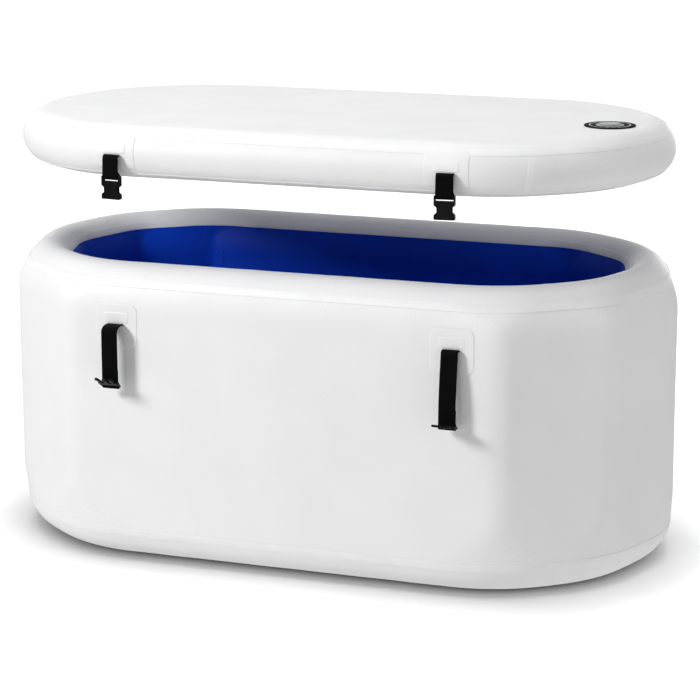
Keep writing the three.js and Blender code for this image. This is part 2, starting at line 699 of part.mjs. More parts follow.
function valvePieces(name) {
  const flangeTop = GAP + VALVE_FLANGE;
  const seatTop = -VALVE_SEAT_DEPTH + VALVE_SEAT;
  const foot = -VALVE_NECK_LENGTH;
  const shell = turned([
    [VALVE_BORE_RADIUS, flangeTop],
    [VALVE_BORE_RADIUS, seatTop],
    [VALVE_SEAT_RADIUS, seatTop],
    [VALVE_SEAT_RADIUS, -VALVE_SEAT_DEPTH],
    [VALVE_BORE_RADIUS, -VALVE_SEAT_DEPTH - VALVE_CONE],
    [VALVE_BORE_RADIUS, foot],
    [VALVE_NECK_RADIUS, foot],
    [VALVE_NECK_RADIUS, GAP],
    [VALVE_FLANGE_RADIUS, GAP],
    [VALVE_FLANGE_RADIUS, flangeTop - VALVE_FLANGE / 2],
    [VALVE_FLANGE_RADIUS - VALVE_FLANGE / 2, flangeTop],
  ]);
  const spiderTop = -VALVE_SPIDER_DEPTH;
  const hub = turned([
    [STEM_RADIUS + GAP, spiderTop],
    [STEM_RADIUS + GAP, spiderTop - VALVE_SPIDER],
    [VALVE_HUB_RADIUS, spiderTop - VALVE_SPIDER],
    [VALVE_HUB_RADIUS, spiderTop],
  ]);
  const reach = VALVE_BORE_RADIUS + GAP - STEM_RADIUS - GAP * 2;
  const spokes = Array.from({ length: VALVE_SPOKES }, (_, i) => {
    const spoke = new THREE.BoxGeometry(reach, VALVE_SPOKE_WIDTH, VALVE_SPIDER);
    spoke.translate(STEM_RADIUS + GAP * 2 + reach / 2, 0, spiderTop - VALVE_SPIDER / 2);
    return spoke.rotateZ((Math.PI * 2 * i) / VALVE_SPOKES);
  });
  const body = join(shell, hub, ...spokes);

  const buttonTop = -BUTTON_DEPTH;
  const discTop = -VALVE_SEAT_DEPTH - GAP;
  const plunger = turned([
    [0, buttonTop],
    [BUTTON_RADIUS, buttonTop],
    [BUTTON_RADIUS, buttonTop - BUTTON],
    [STEM_RADIUS, buttonTop - BUTTON],
    [STEM_RADIUS, discTop],
    [VALVE_SEAT_RADIUS, discTop],
    [VALVE_SEAT_RADIUS + DISC_OVERLAP, discTop - VALVE_CONE / 2],
    [VALVE_SEAT_RADIUS + DISC_OVERLAP, discTop - DISC],
    [0, discTop - DISC],
  ]);

  const pad = turned([
    [VALVE_FLANGE_RADIUS + GAP, GAP],
    [VALVE_PAD_RADIUS, GAP],
    [VALVE_PAD_RADIUS, GAP + VALVE_PAD],
    [VALVE_FLANGE_RADIUS + GAP, GAP + VALVE_PAD],
  ]);
  const nutShape = new THREE.Shape(
    Array.from({ length: NUT_SIDES }, (_, i) => {
      const angle = (Math.PI * 2 * i) / NUT_SIDES;
      return new THREE.Vector2(Math.cos(angle), Math.sin(angle)).multiplyScalar(NUT_RADIUS);
    }),
  );
  const nutBore = VALVE_NECK_RADIUS + GAP;
  const nutHole = new THREE.Path();
  nutHole.setFromPoints(new THREE.EllipseCurve(0, 0, nutBore, nutBore).getPoints(ROUND_SIDES));
  nutShape.holes.push(nutHole);
  const nut = prism(nutShape, NUT).translate(0, 0, -SKIN - CLOTH - GAP * 2 - NUT);

  return [
    [`${name}_pad`, pad, black()],
    [`${name}_body`, body, black()],
    [`${name}_plunger`, plunger, grey()],
    [`${name}_spring`, valveSpring(buttonTop - BUTTON, spiderTop), steel()],
    [`${name}_nut`, nut, black()],
    [`${name}_cap`, valveCap(flangeTop + GAP), grey()],
  ];
}

// Coil spring between the button's underside and the spider, as one unbroken wire
function valveSpring(top, bottom) {
  const half = SPRING_WIRE / 2;
  const [high, low] = [top - GAP - half, bottom + GAP + half];
  const steps = SPRING_TURNS * SPRING_STEPS;
  const at = (k) => {
    const angle = (Math.PI * 2 * k) / SPRING_STEPS;
    const z = THREE.MathUtils.lerp(low, high, k / steps);
    return new THREE.Vector3(SPRING_RADIUS * Math.cos(angle), SPRING_RADIUS * Math.sin(angle), z);
  };
  const rings = Array.from({ length: steps + 1 }, (_, k) => {
    const centre = at(k);
    const radial = new THREE.Vector3(centre.x, centre.y, 0).normalize();
    return Array.from({ length: SPRING_SIDES }, (_, i) => {
      const angle = (Math.PI * 2 * i) / SPRING_SIDES;
      const point = centre.clone().addScaledVector(radial, half * Math.cos(angle));
      return point.addScaledVector(Z_AXIS, half * Math.sin(angle));
    });
  });
  const turnGap = (high - low) / SPRING_TURNS - SPRING_WIRE;
  console.log(`valve spring: least gap between turns ${turnGap.toFixed(2)} mm`);
  return loft(rings, false);
}

// Screw cap with a lobed grip and a skirt that plugs the bore
function valveCap(foot) {
  const count = CAP_LOBES * CAP_LOBE_STEPS;
  const lobes = Array.from({ length: count }, (_, i) => {
    const angle = (Math.PI * 2 * i) / count;
    const radius = CAP_RADIUS - (CAP_LOBE_DEPTH * (1 - Math.cos(angle * CAP_LOBES))) / 2;
    return new THREE.Vector2(radius * Math.cos(angle), radius * Math.sin(angle));
  });
  const grip = prism(new THREE.Shape(lobes), CAP).translate(0, 0, foot);
  const outer = VALVE_BORE_RADIUS * FACET_SHARE - GAP;
  const skirt = turned([
    [outer - CAP_SKIRT_WALL, foot + CAP / 2],
    [outer - CAP_SKIRT_WALL, foot - CAP_SKIRT],
    [outer, foot - CAP_SKIRT],
    [outer, foot + CAP / 2],
  ]);
  return join(grip, skirt);
}

// Drain about Z, with the wall's outer face at height 0 and the tub's inside below

function drainPieces() {
  const neckTop = GAP + DRAIN_FLANGE + DRAIN_NECK;
  const inner = -WALL_THICKNESS - DRAIN_INSIDE;
  const body = turned([
    [DRAIN_BORE_RADIUS, neckTop],
    [DRAIN_BORE_RADIUS, inner],
    [DRAIN_TUBE_RADIUS, inner],
    [DRAIN_TUBE_RADIUS, GAP],
    [DRAIN_FLANGE_RADIUS, GAP],
    [DRAIN_FLANGE_RADIUS, GAP + DRAIN_FLANGE / 2],
    [DRAIN_FLANGE_RADIUS - DRAIN_FLANGE / 2, GAP + DRAIN_FLANGE],
    [DRAIN_TUBE_RADIUS, GAP + DRAIN_FLANGE],
    [DRAIN_TUBE_RADIUS, neckTop],
  ]);
  const ring = (radius, top, thickness) => turned([
    [DRAIN_TUBE_RADIUS + GAP, top],
    [DRAIN_TUBE_RADIUS + GAP, top - thickness],
    [radius, top - thickness],
    [radius, top],
  ]);
  const gasketTop = -WALL_THICKNESS - GAP;
  const nutTop = gasketTop - DRAIN_GASKET - GAP;
  const capFoot = GAP * 2 + DRAIN_FLANGE;
  const capBore = (DRAIN_TUBE_RADIUS + GAP) / FACET_SHARE;
  const cap = turned([
    [0, neckTop + GAP],
    [capBore, neckTop + GAP],
    [capBore, capFoot],
    [DRAIN_CAP_RADIUS, capFoot],
    [DRAIN_CAP_RADIUS, neckTop + GAP + DRAIN_CAP_TOP / 2],
    [DRAIN_CAP_RADIUS - DRAIN_CAP_TOP / 2, neckTop + GAP + DRAIN_CAP_TOP],
    [0, neckTop + GAP + DRAIN_CAP_TOP],
  ]);
  return [
    ['drain_body', body, black()],
    ['drain_gasket', ring(DRAIN_NUT_RADIUS, gasketTop, DRAIN_GASKET), black()],
    ['drain_nut', ring(DRAIN_NUT_RADIUS, nutTop, DRAIN_NUT), black()],
    ['drain_cap', cap, black()],
  ];
}

// Through holes for fittings

function holeInWall(x, z, radius, depth) {
  const tool = roundBar(radius, depth, ROUND_SIDES);
  return tool.translate(x, SIDE_HALF_WIDTH, z);
}

function holeInLid(x, y, radius) {
  const tool = roundBar(radius, SKIN * 4, ROUND_SIDES).rotateX(Math.PI / 2);
  return tool.translate(x, y, LID_TOP);
}

// Threads: strands stand on a backing cloth and stop just short of the facing skin

function strandField(cloth, roots, reachOf) {
  const rods = roots.map((root) => rodBetween(root, reachOf(root), STRAND_RADIUS, STRAND_SIDES));
  return join(cloth, mergeGeometries(rods));
}

function clearOf(point, keepOuts) {
  return keepOuts.every(({ at, radius }) => at.distanceTo(point) > radius + STRAND_RADIUS * 2);
}

function wallThreads(keepOuts) {
  const [low, high] = [WALL_STRANDS_LOW, TUB_HEIGHT - WALL_STRANDS_BELOW_RIM];
  const face = SKIN + GAP;
  const rings = [
    ringAt(face, low - CLOTH_EDGE, WALL_BEND_RADIUS, LINER_BEND_RADIUS),
    ringAt(face, high + CLOTH_EDGE, WALL_BEND_RADIUS, LINER_BEND_RADIUS),
    ringAt(face + CLOTH, high + CLOTH_EDGE, WALL_BEND_RADIUS, LINER_BEND_RADIUS),
    ringAt(face + CLOTH, low - CLOTH_EDGE, WALL_BEND_RADIUS, LINER_BEND_RADIUS),
  ];
  const holes = keepOuts.map(({ at, radius }) => holeInWall(at.x, at.z, radius, WALL_THICKNESS / 2));
  const cloth = cut(loft(rings, true), ...holes);
  const strands = CORNERS.flatMap((corner, index) => {
    const from = insetCorner(index, WALL_THICKNESS);
    const to = insetCorner((index + 1) % CORNERS.length, WALL_THICKNESS);
    const run = from.distanceTo(to) - STRAND_EDGE * 2;
    const columns = Math.max(Math.round(run / STRAND_PITCH), 1);
    const along = to.clone().sub(from).normalize();
    const outward = new THREE.Vector2(along.y, -along.x);
    return spread(STRAND_EDGE, STRAND_EDGE + run, columns).flatMap((step) =>
      spread(low, high, STRAND_ROWS).map((z) => {
        const inner = from.clone().addScaledVector(along, step);
        const root = inner.clone().addScaledVector(outward, WALL_THICKNESS - face - CLOTH / 2);
        const tip = inner.addScaledVector(outward, face);
        return [new THREE.Vector3(root.x, root.y, z), new THREE.Vector3(tip.x, tip.y, z)];
      }),
    );
  });
  const facing = (point) => new THREE.Vector3(point.x, SIDE_HALF_WIDTH, point.z);
  const kept = strands.filter(([root]) => root.y < 0 || clearOf(facing(root), keepOuts));
  const tips = new Map(kept);
  return strandField(cloth, [...tips.keys()], (root) => tips.get(root));
}

function flatThreads(edge, z, top, bendRadius, leastRadius, keepOuts) {
  const cloth = sheet(edge, z, CLOTH, bendRadius, leastRadius);
  const rim = outline(edge + STRAND_EDGE, bendRadius, leastRadius);
  const halfLength = Math.max(...rim.map((p) => p.x));
  const halfWidth = Math.max(...rim.map((p) => p.y));
  const grid = (half) => {
    const steps = Math.max(Math.round((half * 2) / STRAND_PITCH), 1);
    return spread(-half, half, steps);
  };
  const inside = (x, y) => rim.every((p, i) => {
    const q = rim[(i + 1) % rim.length];
    return (q.x - p.x) * (y - p.y) - (q.y - p.y) * (x - p.x) >= 0;
  });
  const roots = grid(halfLength).flatMap((x) =>
    grid(halfWidth)
      .filter((y) => inside(x, y))
      .map((y) => new THREE.Vector3(x, y, z + CLOTH / 2)),
  );
  const flat = (p) => new THREE.Vector3(p.x, p.y, LID_TOP);
  const kept = roots.filter((root) => clearOf(flat(root), keepOuts));
  return strandField(cloth, kept, (root) => new THREE.Vector3(root.x, root.y, top));
}

// Scene

const tub = new THREE.Group();

function place(name, geometry, material, parent) {
  const mesh = new THREE.Mesh(geometry, material);
  mesh.name = name;
  parent.add(mesh);
  return mesh;
}

function groupAt(parent, x, y, z) {
  const group = new THREE.Group();
  group.position.set(x, y, z);
  parent.add(group);
  return group;
}

// Wall, rails and floor

const bottomSeam = stationIndex(BOTTOM_SEAM_HEIGHT - GAP / 2, false);
const topSeam = stationIndex(TOP_SEAM - GAP / 2, false);
const innerSeam = stationIndex(INNER_SEAM + GAP / 2, true);
const wallValve = { at: new THREE.Vector3(WALL_VALVE_X, SIDE_HALF_WIDTH, TUB_HEIGHT - WALL_VALVE_BELOW_RIM) };
const lidTipX = END_TIP_X - LID_VALVE_FROM_TIP;
const lidValve = { at: new THREE.Vector3(lidTipX, LID_VALVE_Y, LID_TOP) };
const valveHole = VALVE_NECK_RADIUS + GAP;
const drainHole = DRAIN_NUT_RADIUS - DRAIN_SEAL_WIDTH;
const wallValveHole = holeInWall(wallValve.at.x, wallValve.at.z, valveHole, SKIN * 4);
const drainTool = holeInWall(DRAIN_X, DRAIN_HEIGHT, drainHole, WALL_THICKNESS * 2 + SKIN * 4);

const outerSkin = band(between(bottomSeam + 1, topSeam), -SKIN, 0);
const linerRows = between(innerSeam + 1, SECTION.length - 1);
const railRows = between(topSeam + 1, innerSeam);
const liner = (firstBend, panels) => panelRun(linerRows, -SKIN, 0, firstBend, panels);
const rail = (firstBend) => panelRun(railRows, -SKIN, 0, firstBend, END_PANELS + 1);
const floorInset = WALL_THICKNESS + GAP;

place('base_sheet', sheet(BOTTOM_RADIUS, 0, BASE_SHEET, OVAL_BEND_RADIUS, LINER_BEND_RADIUS), white(), tub);
place('bottom_rail', band(between(0, bottomSeam), -SKIN, 0), white(), tub);
place('wall_outer_skin', cut(outerSkin, wallValveHole, drainTool), white(), tub);
place('top_rail_rear', rail(REAR_SIDE_BEND), white(), tub);
place('top_rail_front', rail(FRONT_SIDE_BEND), white(), tub);
place('liner_rear', cut(liner(REAR_SIDE_BEND, 1), drainTool), blue(), tub);
place('liner_left', liner(REAR_SIDE_BEND + 1, END_PANELS), blue(), tub);
place('liner_front', liner(FRONT_SIDE_BEND, 1), blue(), tub);
place('liner_right', liner(FRONT_SIDE_BEND + 1, END_PANELS), blue(), tub);
place('floor_liner', sheet(floorInset, FLOOR_HEIGHT, SKIN, WALL_BEND_RADIUS, LINER_BEND_RADIUS), blue(), tub);
place('seam_tape_top', band(tapeStations(TOP_SEAM, false), GAP, GAP + TAPE), white(), tub);
place('seam_tape_inner', band(tapeStations(INNER_SEAM, true), GAP, GAP + TAPE), white(), tub);
place('seam_tape_bottom', band(tapeStations(BOTTOM_SEAM_HEIGHT, false), GAP, GAP + TAPE), white(), tub);

function cornerTape() {
  const profile = [
    [floorInset, TAPE_FOOT],
    [floorInset + CORNER_TAPE_LEG, TAPE_FOOT],
    [floorInset + CORNER_TAPE_LEG, TAPE_FOOT + TAPE],
    [floorInset + TAPE, TAPE_FOOT + TAPE],
    [floorInset + TAPE, TAPE_FOOT + CORNER_TAPE_LEG],
    [floorInset, TAPE_FOOT + CORNER_TAPE_LEG],
  ];
  return loft(profile.map(([d, z]) => ringAt(d, z, WALL_BEND_RADIUS, LINER_BEND_RADIUS)), true);
}

place('floor_corner_tape', cornerTape(), blue(), tub);
place('wall_threads', wallThreads([{ at: wallValve.at, radius: NUT_RADIUS + GAP }]), thread(), tub);
const floorCloth = [floorInset, INSIDE_FOOT, FLOOR_HEIGHT - GAP, WALL_BEND_RADIUS, LINER_BEND_RADIUS];
place('floor_threads', flatThreads(...floorCloth, []), thread(), tub);

// Lid

const lid = groupAt(tub, 0, 0, 0);

function lidSection() {
  const seams = [LID_TOP_SEAM_ANGLE, LID_BOTTOM_SEAM_ANGLE].flatMap((angle) => {
    const half = THREE.MathUtils.radToDeg(GAP / 2 / LID_RADIUS);
    return [angle + half, angle - half];
  });
  const kept = [...seams, LID_PATCH_TOP_ANGLE, LID_PATCH_BOTTOM_ANGLE, 0];
  const angles = levels(kept, spread(-90, 90, LID_EDGE_STEPS)).reverse();
  return angles.map((angle) => ({
    inset: LID_INSET + LID_RADIUS * (1 - Math.cos(radians(angle))),
    z: LID_MIDDLE + LID_RADIUS * Math.sin(radians(angle)),
    bend: OVAL_BEND_RADIUS,
    out: new THREE.Vector2(-Math.cos(radians(angle)), Math.sin(radians(angle))),
    angle,
  }));
}

const LID_SECTION = lidSection();

function lidBetween(high, low) {
  const slack = THREE.MathUtils.radToDeg(GAP / LID_RADIUS) / 4;
  return LID_SECTION.filter((s) => s.angle <= high + slack && s.angle >= low - slack);
}

const seamHalf = THREE.MathUtils.radToDeg(GAP / 2 / LID_RADIUS);
const lidTop = cappedSkin(lidBetween(90, LID_TOP_SEAM_ANGLE + seamHalf));
const lidHole = holeInLid(lidValve.at.x, lidValve.at.y, valveHole);
const lidSide = lidBetween(LID_TOP_SEAM_ANGLE - seamHalf, LID_BOTTOM_SEAM_ANGLE + seamHalf);
const lidFoot = lidBetween(LID_BOTTOM_SEAM_ANGLE - seamHalf, -90).reverse();
place('lid_top_skin', cut(lidTop, lidHole), lidWhite(), lid);
place('lid_side_band', band(lidSide, -SKIN, 0), white(), lid);
place('lid_bottom_skin', cappedSkin(lidFoot), white(), lid);
const lidCloth = [LID_INSET + LID_RADIUS, LID_BOTTOM + SKIN + GAP, LID_TOP - SKIN - GAP];
const lidKeepOut = [{ at: lidValve.at, radius: NUT_RADIUS + GAP }];
const lidThreads = flatThreads(...lidCloth, OVAL_BEND_RADIUS, LINER_BEND_RADIUS, lidKeepOut);
place('lid_threads', lidThreads, thread(), lid);

// Straps, patches and buckles at four stations

const maleGeometry = maleBuckle();
const femaleGeometry = femaleBuckle();

function tubPatch() {
  const plate = prism(roundedRectangle(PATCH_WIDTH, PATCH_HEIGHT, PATCH_CORNER), PATCH);
  plate.translate(0, PATCH_ABOVE_ROOT - PATCH_HEIGHT / 2, GAP);
  const keeper = prism(roundedRectangle(KEEPER_WIDTH, KEEPER_HEIGHT, KEEPER_CORNER), KEEPER + PATCH / 2);
  keeper.translate(0, KEEPER_HEIGHT / 2, GAP + PATCH / 2);
  const facing = new THREE.Matrix4().makeBasis(X_AXIS.clone().negate(), Z_AXIS, Y_AXIS);
  return join(plate, keeper).applyMatrix4(facing);
}

// The lid's edge as plan segments, so that a patch bends exactly where the edge does
function edgeColumns(x, width) {
  const rim = outline(LID_INSET, OVAL_BEND_RADIUS, LINER_BEND_RADIUS);
  const panels = rim.map((p, k) => ({ k, a: p, b: rim[(k + 1) % rim.length] }));
  const rear = panels.filter(({ a, b }) => a.y + b.y > 0);
  const cutAt = (at) => {
    const { k, a, b } = rear.find((s) => s.a.x >= at && s.b.x < at);
    return { k, f: (a.x - at) / (a.x - b.x) };
  };
  const [first, middle, last] = [cutAt(x + width / 2), cutAt(x), cutAt(x - width / 2)];
  const corners = rear.map(({ k }) => k).filter((k) => k > first.k && k <= last.k);
  return { columns: [first, ...corners.map((k) => ({ k, f: 0 })), last], middle };
}

function pointOnRing(ring, { k, f }) {
  return ring[k].clone().lerp(ring[(k + 1) % ring.length], f);
}

function lidPatch(columns) {
  const stations = lidBetween(LID_PATCH_TOP_ANGLE, LID_PATCH_BOTTOM_ANGLE);
  const layer = (offset) => {
    const rings = stations.map((station) => stationRing(station, offset));
    return columns.map((column) => rings.map((ring) => pointOnRing(ring, column)));
  };
  return slab(layer(GAP), layer(GAP + PATCH));
}

function lidKeeper() {
  const keeper = prism(roundedRectangle(KEEPER_WIDTH, LID_KEEPER_HEIGHT, KEEPER_CORNER), KEEPER + GAP);
  keeper.translate(0, LID_KEEPER_HEIGHT / 2, 0);
  return keeper.applyMatrix4(new THREE.Matrix4().makeBasis(X_AXIS.clone().negate(), Z_AXIS, Y_AXIS));
}

const hingeOut = GAP + PATCH + GAP + HEM_RADIUS;
const hingeDrop = GAP + HEM_RADIUS;

function tubStation(name, x, side, belowRim, length, standOff, lean, tilt) {
  const root = groupAt(tub, x, side * SIDE_HALF_WIDTH, TUB_HEIGHT - belowRim);
  root.rotation.z = side > 0 ? 0 : Math.PI;
  place(`tub_patch_${name}`, tubPatch(), white(), root);
  const hinge = groupAt(root, 0, hingeOut, -hingeDrop);
  const { geometry, bar } = strapGeometry(length, standOff, lean);
  place(`tub_strap_${name}`, geometry, webbingBlack(), hinge);
  const pivot = groupAt(hinge, 0, bar.x, bar.y);
  pivot.rotation.x = radians(tilt);
  place(`buckle_male_${name}`, maleGeometry, black(), pivot);
}

function lidStation(name, x, side) {
  const across = groupAt(lid, 0, 0, 0);
  across.rotation.z = side > 0 ? 0 : Math.PI;
  const { columns, middle } = edgeColumns(x * side, LID_PATCH_WIDTH);
  const rim = stationRing(LID_SECTION.find((s) => s.angle === 0), 0);
  const seat = pointOnRing(rim, middle);
  const along = rim[middle.k].clone().sub(rim[(middle.k + 1) % rim.length]);
  const root = groupAt(across, seat.x, seat.y, seat.z);
  root.rotation.z = Math.atan2(along.y, along.x);
  root.updateMatrix();
  const flat = lidPatch(columns).applyMatrix4(root.matrix.clone().invert());
  const raised = lidKeeper().translate(0, GAP + PATCH / 2, 0);
  place(`lid_patch_${name}`, join(flat, raised), white(), root);
  const hinge = groupAt(root, 0, hingeOut, -hingeDrop);
  const { geometry, bar } = strapGeometry(LID_STRAP_LENGTH, LID_STAND_OFF, 0);
  place(`lid_strap_${name}`, geometry, webbingBlack(), hinge);
  const pivot = groupAt(hinge, 0, bar.x, bar.y);
  pivot.rotation.x = -Math.PI / 2;
  place(`buckle_female_${name}`, femaleGeometry, black(), pivot);
}

const left = [LEFT_ROOT_BELOW_RIM, LEFT_STRAP_LENGTH, LEFT_STAND_OFF, 0, LEFT_MALE_TILT];
const right = [RIGHT_ROOT_BELOW_RIM, RIGHT_STRAP_LENGTH, RIGHT_STAND_OFF, RIGHT_LEAN, RIGHT_MALE_TILT];
const [tubLeft, tubRight] = [TUB_LEFT_FROM_BEND, TUB_RIGHT_FROM_BEND].map((step) => SIDE_BEND_X - step);
const [lidLeft, lidRight] = [LID_LEFT_FROM_BEND, LID_RIGHT_FROM_BEND].map((step) => SIDE_BEND_X - step);
const stations = [
  ['front_left', -1, -tubLeft, -lidLeft, left],
  ['front_right', -1, tubRight, lidRight, right],
  ['rear_left', 1, -tubRight, -lidRight, right],
  ['rear_right', 1, tubLeft, lidLeft, left],
];
stations.forEach(([name, side, tubX, lidX, strap]) => {
  tubStation(name, tubX, side, ...strap);
  lidStation(name, lidX, side);
});

// Valves and drain

const lidFitting = groupAt(lid, lidValve.at.x, lidValve.at.y, LID_TOP);
valvePieces('lid_valve').forEach((piece) => place(...piece, lidFitting));
const wallFitting = groupAt(tub, wallValve.at.x, SIDE_HALF_WIDTH, wallValve.at.z);
wallFitting.rotation.x = -Math.PI / 2;
valvePieces('wall_valve').forEach((piece) => place(...piece, wallFitting));
const drain = groupAt(tub, DRAIN_X, SIDE_HALF_WIDTH, DRAIN_HEIGHT);
drain.rotation.x = -Math.PI / 2;
drainPieces().forEach((piece) => place(...piece, drain));

export default tub;
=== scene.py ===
"""Looks of an inflatable cold plunge tub with its lid lifted clear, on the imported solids.

Sizes are millimetres in the solids' own frame, and every mesh is written in metres.
"""
import json
import logging
import math
from dataclasses import dataclass
from enum import Enum
from typing import Callable, Dict, Optional, Sequence, Tuple

import bmesh
import bpy
import numpy as np
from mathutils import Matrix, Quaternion, Vector


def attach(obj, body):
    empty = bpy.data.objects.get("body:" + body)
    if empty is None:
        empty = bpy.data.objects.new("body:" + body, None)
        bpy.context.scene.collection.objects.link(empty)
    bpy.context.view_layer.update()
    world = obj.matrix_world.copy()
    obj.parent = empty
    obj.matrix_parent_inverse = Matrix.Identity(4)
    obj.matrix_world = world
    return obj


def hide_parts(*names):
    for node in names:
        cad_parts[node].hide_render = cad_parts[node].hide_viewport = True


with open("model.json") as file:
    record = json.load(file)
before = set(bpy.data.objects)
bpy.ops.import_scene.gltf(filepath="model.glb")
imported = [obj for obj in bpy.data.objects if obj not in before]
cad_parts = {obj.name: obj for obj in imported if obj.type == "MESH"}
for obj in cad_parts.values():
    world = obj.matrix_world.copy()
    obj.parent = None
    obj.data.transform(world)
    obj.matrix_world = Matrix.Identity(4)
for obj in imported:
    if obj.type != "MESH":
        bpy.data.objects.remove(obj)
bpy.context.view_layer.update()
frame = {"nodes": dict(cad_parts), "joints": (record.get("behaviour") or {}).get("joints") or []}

Array = np.ndarray
LOG = logging.getLogger("plunge_tub")
MM = 0.001
UP = np.array([0.0, 0.0, 1.0])
# One turn of the Wave texture at scale 1, in its own units
WAVE_TURN = 2 * math.pi / 20


class Slot(Enum):
    """Material slots of the record."""

    SHELL = "shell_white"
    LID = "lid_white"
    TAPE = "tape_white"
    PATCH = "patch_white"
    LINER = "liner_blue"
    THREAD = "drop_stitch_thread"
    WEBBING = "webbing_black"
    BUCKLE = "buckle_black"
    FITTING = "fitting_black"
    PAD = "pad_black"
    VALVE = "valve_grey"
    GASKET = "gasket_rubber"
    SPRING = "spring_steel"


class Side(Enum):
    """Long side of the tub that a strap station is on; the value is the sign of y."""

    FRONT = -1
    REAR = 1


# Colour and nodes


def linear(code: str) -> Tuple[float, float, float, float]:
    """Turns an sRGB hex colour to linear light, by the standard sRGB curve.

    Args:
        code: six hex digits, with or without a leading hash.

    Returns:
        Red, green and blue from 0 to 1, with alpha 1.
    """
    digits = code.lstrip("#")
    share = np.array([int(digits[k:k + 2], 16) for k in (0, 2, 4)]) / 255
    light = np.where(share <= 0.04045, share / 12.92, ((share + 0.055) / 1.055) ** 2.4)
    return (float(light[0]), float(light[1]), float(light[2]), 1.0)


def add_node(tree: bpy.types.NodeTree, kind: str, settings: Dict, links: Dict) -> bpy.types.Node:
    """Adds one node with its settings, its values and its links.

    Args:
        tree: the node tree that takes the node.
        kind: Blender's name for the node.
        settings: the node's own properties; "ramp" holds a colour ramp's (place, colour) pairs.
        links: for each input, a value or an output socket to link.

    Returns:
        The new node.
    """
    node = tree.nodes.new(kind)
    for key, value in settings.items():
        if key == "ramp":
            stops = node.color_ramp.elements
            for stop, (place, colour) in zip(stops, value):
                stop.position = place
                stop.color = colour
        else:
            setattr(node, key, value)
    for key, value in links.items():
        if isinstance(value, bpy.types.NodeSocket):
            tree.links.new(value, node.inputs[key])
        else:
            node.inputs[key].default_value = value
    return node


# Finishes


@dataclass(frozen=True)
class Finish:
    """What every finish has: a maker's name, the record's slot, and a way to dress a shader.

    Attributes:
        name: the material's common name and how its surface was made.
        slot: the record's slot that the piece takes its finish from.
    """

    name: str
    slot: Slot

    def dress(self, tree: bpy.types.NodeTree, shader: bpy.types.Node) -> None:
        """Links colour, roughness and relief to the shader."""
        raise NotImplementedError

    def material(self) -> bpy.types.Material:
        """Makes the material once and returns it.

        Returns:
            The Blender material of this finish.
        """
        made = bpy.data.materials.get(self.name)
        if made is None:
            made = bpy.data.materials.new(self.name)
            made.use_nodes = True
            self.dress(made.node_tree, made.node_tree.nodes["Principled BSDF"])
        return made


@dataclass(frozen=True)
class CoatedCloth(Finish):
    """PVC-coated polyester: a calendered film over a twill base cloth.

    The base cloth's slanting rows show through the film as faint ridges, with painted shade in the furrows between
    them, the film is satin, and the colour clouds a little where the coating is thicker.

    Attributes:
        colour: the film's colour.
        clouded: the film's colour where it is thicker.
        row: spacing of the slanting rows.
        slant: angle of the rows from the panel's length, in degrees.
        relief: height of the rows.
        roughness: roughness of the film.
        specular: specular level of the film.
        cloud: size of a cloud.
        painted_furrow_shade: how far painted shade darkens the colour in the furrows between rows.
    """

    colour: str
    clouded: str
    row: float = 7.4
    slant: float = 48.0
    relief: float = 0.03
    roughness: float = 0.5
    specular: float = 0.4
    cloud: float = 160.0
    painted_furrow_shade: float = 0.018

    def dress(self, tree: bpy.types.NodeTree, shader: bpy.types.Node) -> None:
        """Rows follow the piece's own UV map, in metres along and across the panel."""
        place = add_node(tree, "ShaderNodeTexCoord", {}, {})
        turned = add_node(tree, "ShaderNodeMapping", {}, {
            "Vector": place.outputs["UV"], "Rotation": (0, 0, math.radians(90 - self.slant))})
        rows = add_node(tree, "ShaderNodeTexWave", {"bands_direction": "X"}, {
            "Vector": turned.outputs[0], "Scale": WAVE_TURN / (self.row * MM),
            "Distortion": 1.4, "Detail": 2.0, "Detail Scale": 1.6}).outputs["Fac"]
        cloud = add_node(tree, "ShaderNodeTexNoise", {}, {
            "Vector": place.outputs["Object"], "Scale": 1 / (self.cloud * MM), "Detail": 4.0}).outputs["Fac"]
        tint = add_node(tree, "ShaderNodeValToRGB", {"ramp": (
            (0.35, linear(self.colour)), (0.7, linear(self.clouded)))}, {"Fac": cloud}).outputs["Color"]
        # Painted shade: the colour is darkened in the furrows between the rows, where the relief sinks.
        shade = add_node(tree, "ShaderNodeMapRange", {}, {
            "Value": rows, "To Min": 1 - self.painted_furrow_shade, "To Max": 1.0}).outputs[0]
        colour = add_node(tree, "ShaderNodeVectorMath", {"operation": "SCALE"}, {
            0: tint, "Scale": shade}).outputs[0]
        rough = add_node(tree, "ShaderNodeMapRange", {}, {
            "Value": cloud, "To Min": self.roughness - 0.07, "To Max": self.roughness + 0.07}).outputs[0]
        ridge = add_node(tree, "ShaderNodeBump", {}, {
            "Height": rows, "Distance": self.relief * MM, "Strength": 1.0}).outputs[0]
        tree.links.new(colour, shader.inputs["Base Color"])
        tree.links.new(rough, shader.inputs["Roughness"])
        tree.links.new(ridge, shader.inputs["Normal"])
        shader.inputs["IOR"].default_value = 1.53
        shader.inputs["Specular IOR Level"].default_value = self.specular


